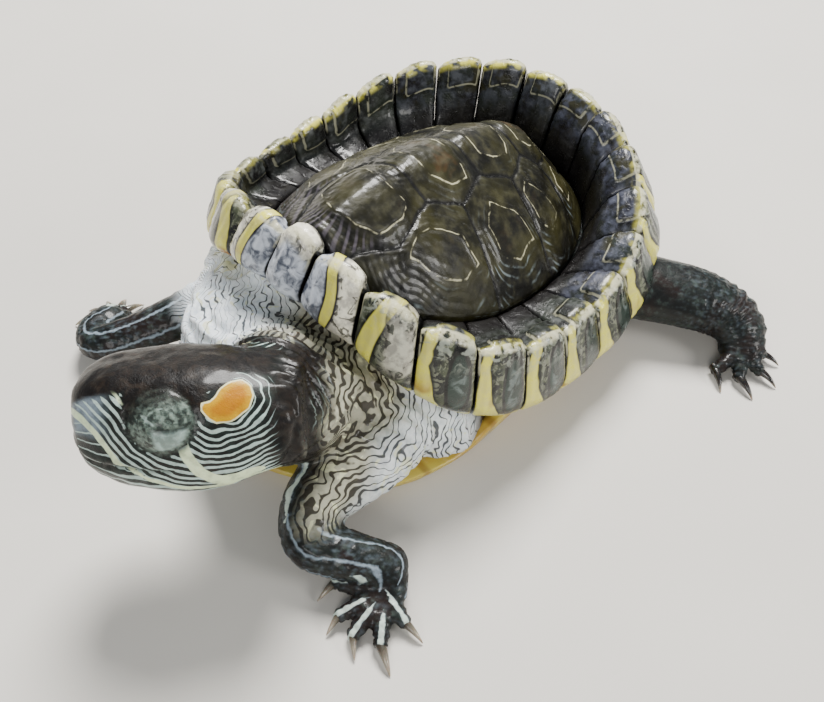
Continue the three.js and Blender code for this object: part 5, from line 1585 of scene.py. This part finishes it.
class TURTLE_OT_stage(bpy.types.Operator):
    """Set the floor, the soft lights and the camera"""
    bl_idname = "turtle.stage"
    bl_label = "Stage"

    def execute(self, context):
        sizes, scene = context.scene.turtle_sizes, context.scene
        half = sizes.floor_width * 500
        floor = make_piece("floor", [(-half, -half, -0.02), (half, -half, -0.02), (half, half, -0.02),
                                     (-half, half, -0.02)], [(0, 1, 2, 3)], smooth_faces=False)
        floor.data.materials.append(pale_floor(tuple(scene.turtle_colours.floor)))
        for name, where, width, watts in (
                ("key_softbox", (-0.28, 0.38, 0.75), 0.36, 22.0),
                ("front_fill", (0.35, -0.75, 0.5), 0.4, 4.0),
                ("side_fill", (0.85, 0.30, 0.5), 0.35, 6.0)):
            lamp = bpy.data.lights.new(name, "AREA")
            lamp.shape, lamp.size, lamp.energy = "DISK", width, watts * sizes.light
            lamp.color = (1.0, 0.985, 0.96)
            box = place(name, lamp)
            box.location = where
            away = -np.array(where) + (0.0, -0.02, 0.03)
            box.rotation_euler = Vector(away).to_track_quat("-Z", "Y").to_euler()
        world = bpy.data.worlds.new("soft room")
        world.use_nodes = True
        glow = world.node_tree.nodes["Background"].inputs
        glow[0].default_value = (0.80, 0.86, 0.95, 1)
        glow[1].default_value = 0.34 * sizes.light
        scene.world = world
        lens = bpy.data.cameras.new("camera")
        lens.sensor_width, lens.lens, lens.clip_start = 36.0, 37.14, 0.01
        scene.camera = place("camera", lens)
        right, up = np.array(CAMERA_RIGHT), -np.array(CAMERA_DOWN)
        axes = np.stack([right, up, np.cross(right, up), CAMERA_PLACE], 1)
        scene.camera.matrix_world = Matrix([*axes.tolist(), (0, 0, 0, 1)])
        return {"FINISHED"}


class TURTLE_PT_pieces(bpy.types.Panel):
    """Lists the model's pieces, sizes and colours"""
    bl_label = "Turtle"
    bl_idname = "TURTLE_PT_pieces"
    bl_space_type = "VIEW_3D"
    bl_region_type = "UI"
    bl_category = "Turtle"

    def draw(self, context):
        for step in STEPS:
            self.layout.operator(step.bl_idname)
        for group in (context.scene.turtle_sizes, context.scene.turtle_colours):
            column = self.layout.column()
            for key in group.__annotations__:
                column.prop(group, key)


STEPS = (TURTLE_OT_stage, TURTLE_OT_dome, TURTLE_OT_rim, TURTLE_OT_plastron, TURTLE_OT_skin, TURTLE_OT_eyes,
         TURTLE_OT_claws)
CLASSES = (TurtleColours, TurtleSizes) + STEPS + (TURTLE_PT_pieces,)


def register():
    for entry in CLASSES:
        bpy.utils.register_class(entry)
    bpy.types.Scene.turtle_colours = bpy.props.PointerProperty(type=TurtleColours)
    bpy.types.Scene.turtle_sizes = bpy.props.PointerProperty(type=TurtleSizes)


def unregister():
    del bpy.types.Scene.turtle_sizes
    del bpy.types.Scene.turtle_colours
    for entry in reversed(CLASSES):
        bpy.utils.unregister_class(entry)


def main():
    register()
    for build in (bpy.ops.turtle.stage, bpy.ops.turtle.dome, bpy.ops.turtle.rim, bpy.ops.turtle.plastron,
                  bpy.ops.turtle.skin, bpy.ops.turtle.eyes, bpy.ops.turtle.claws):
        build()


if __name__ == "__main__":
    main()
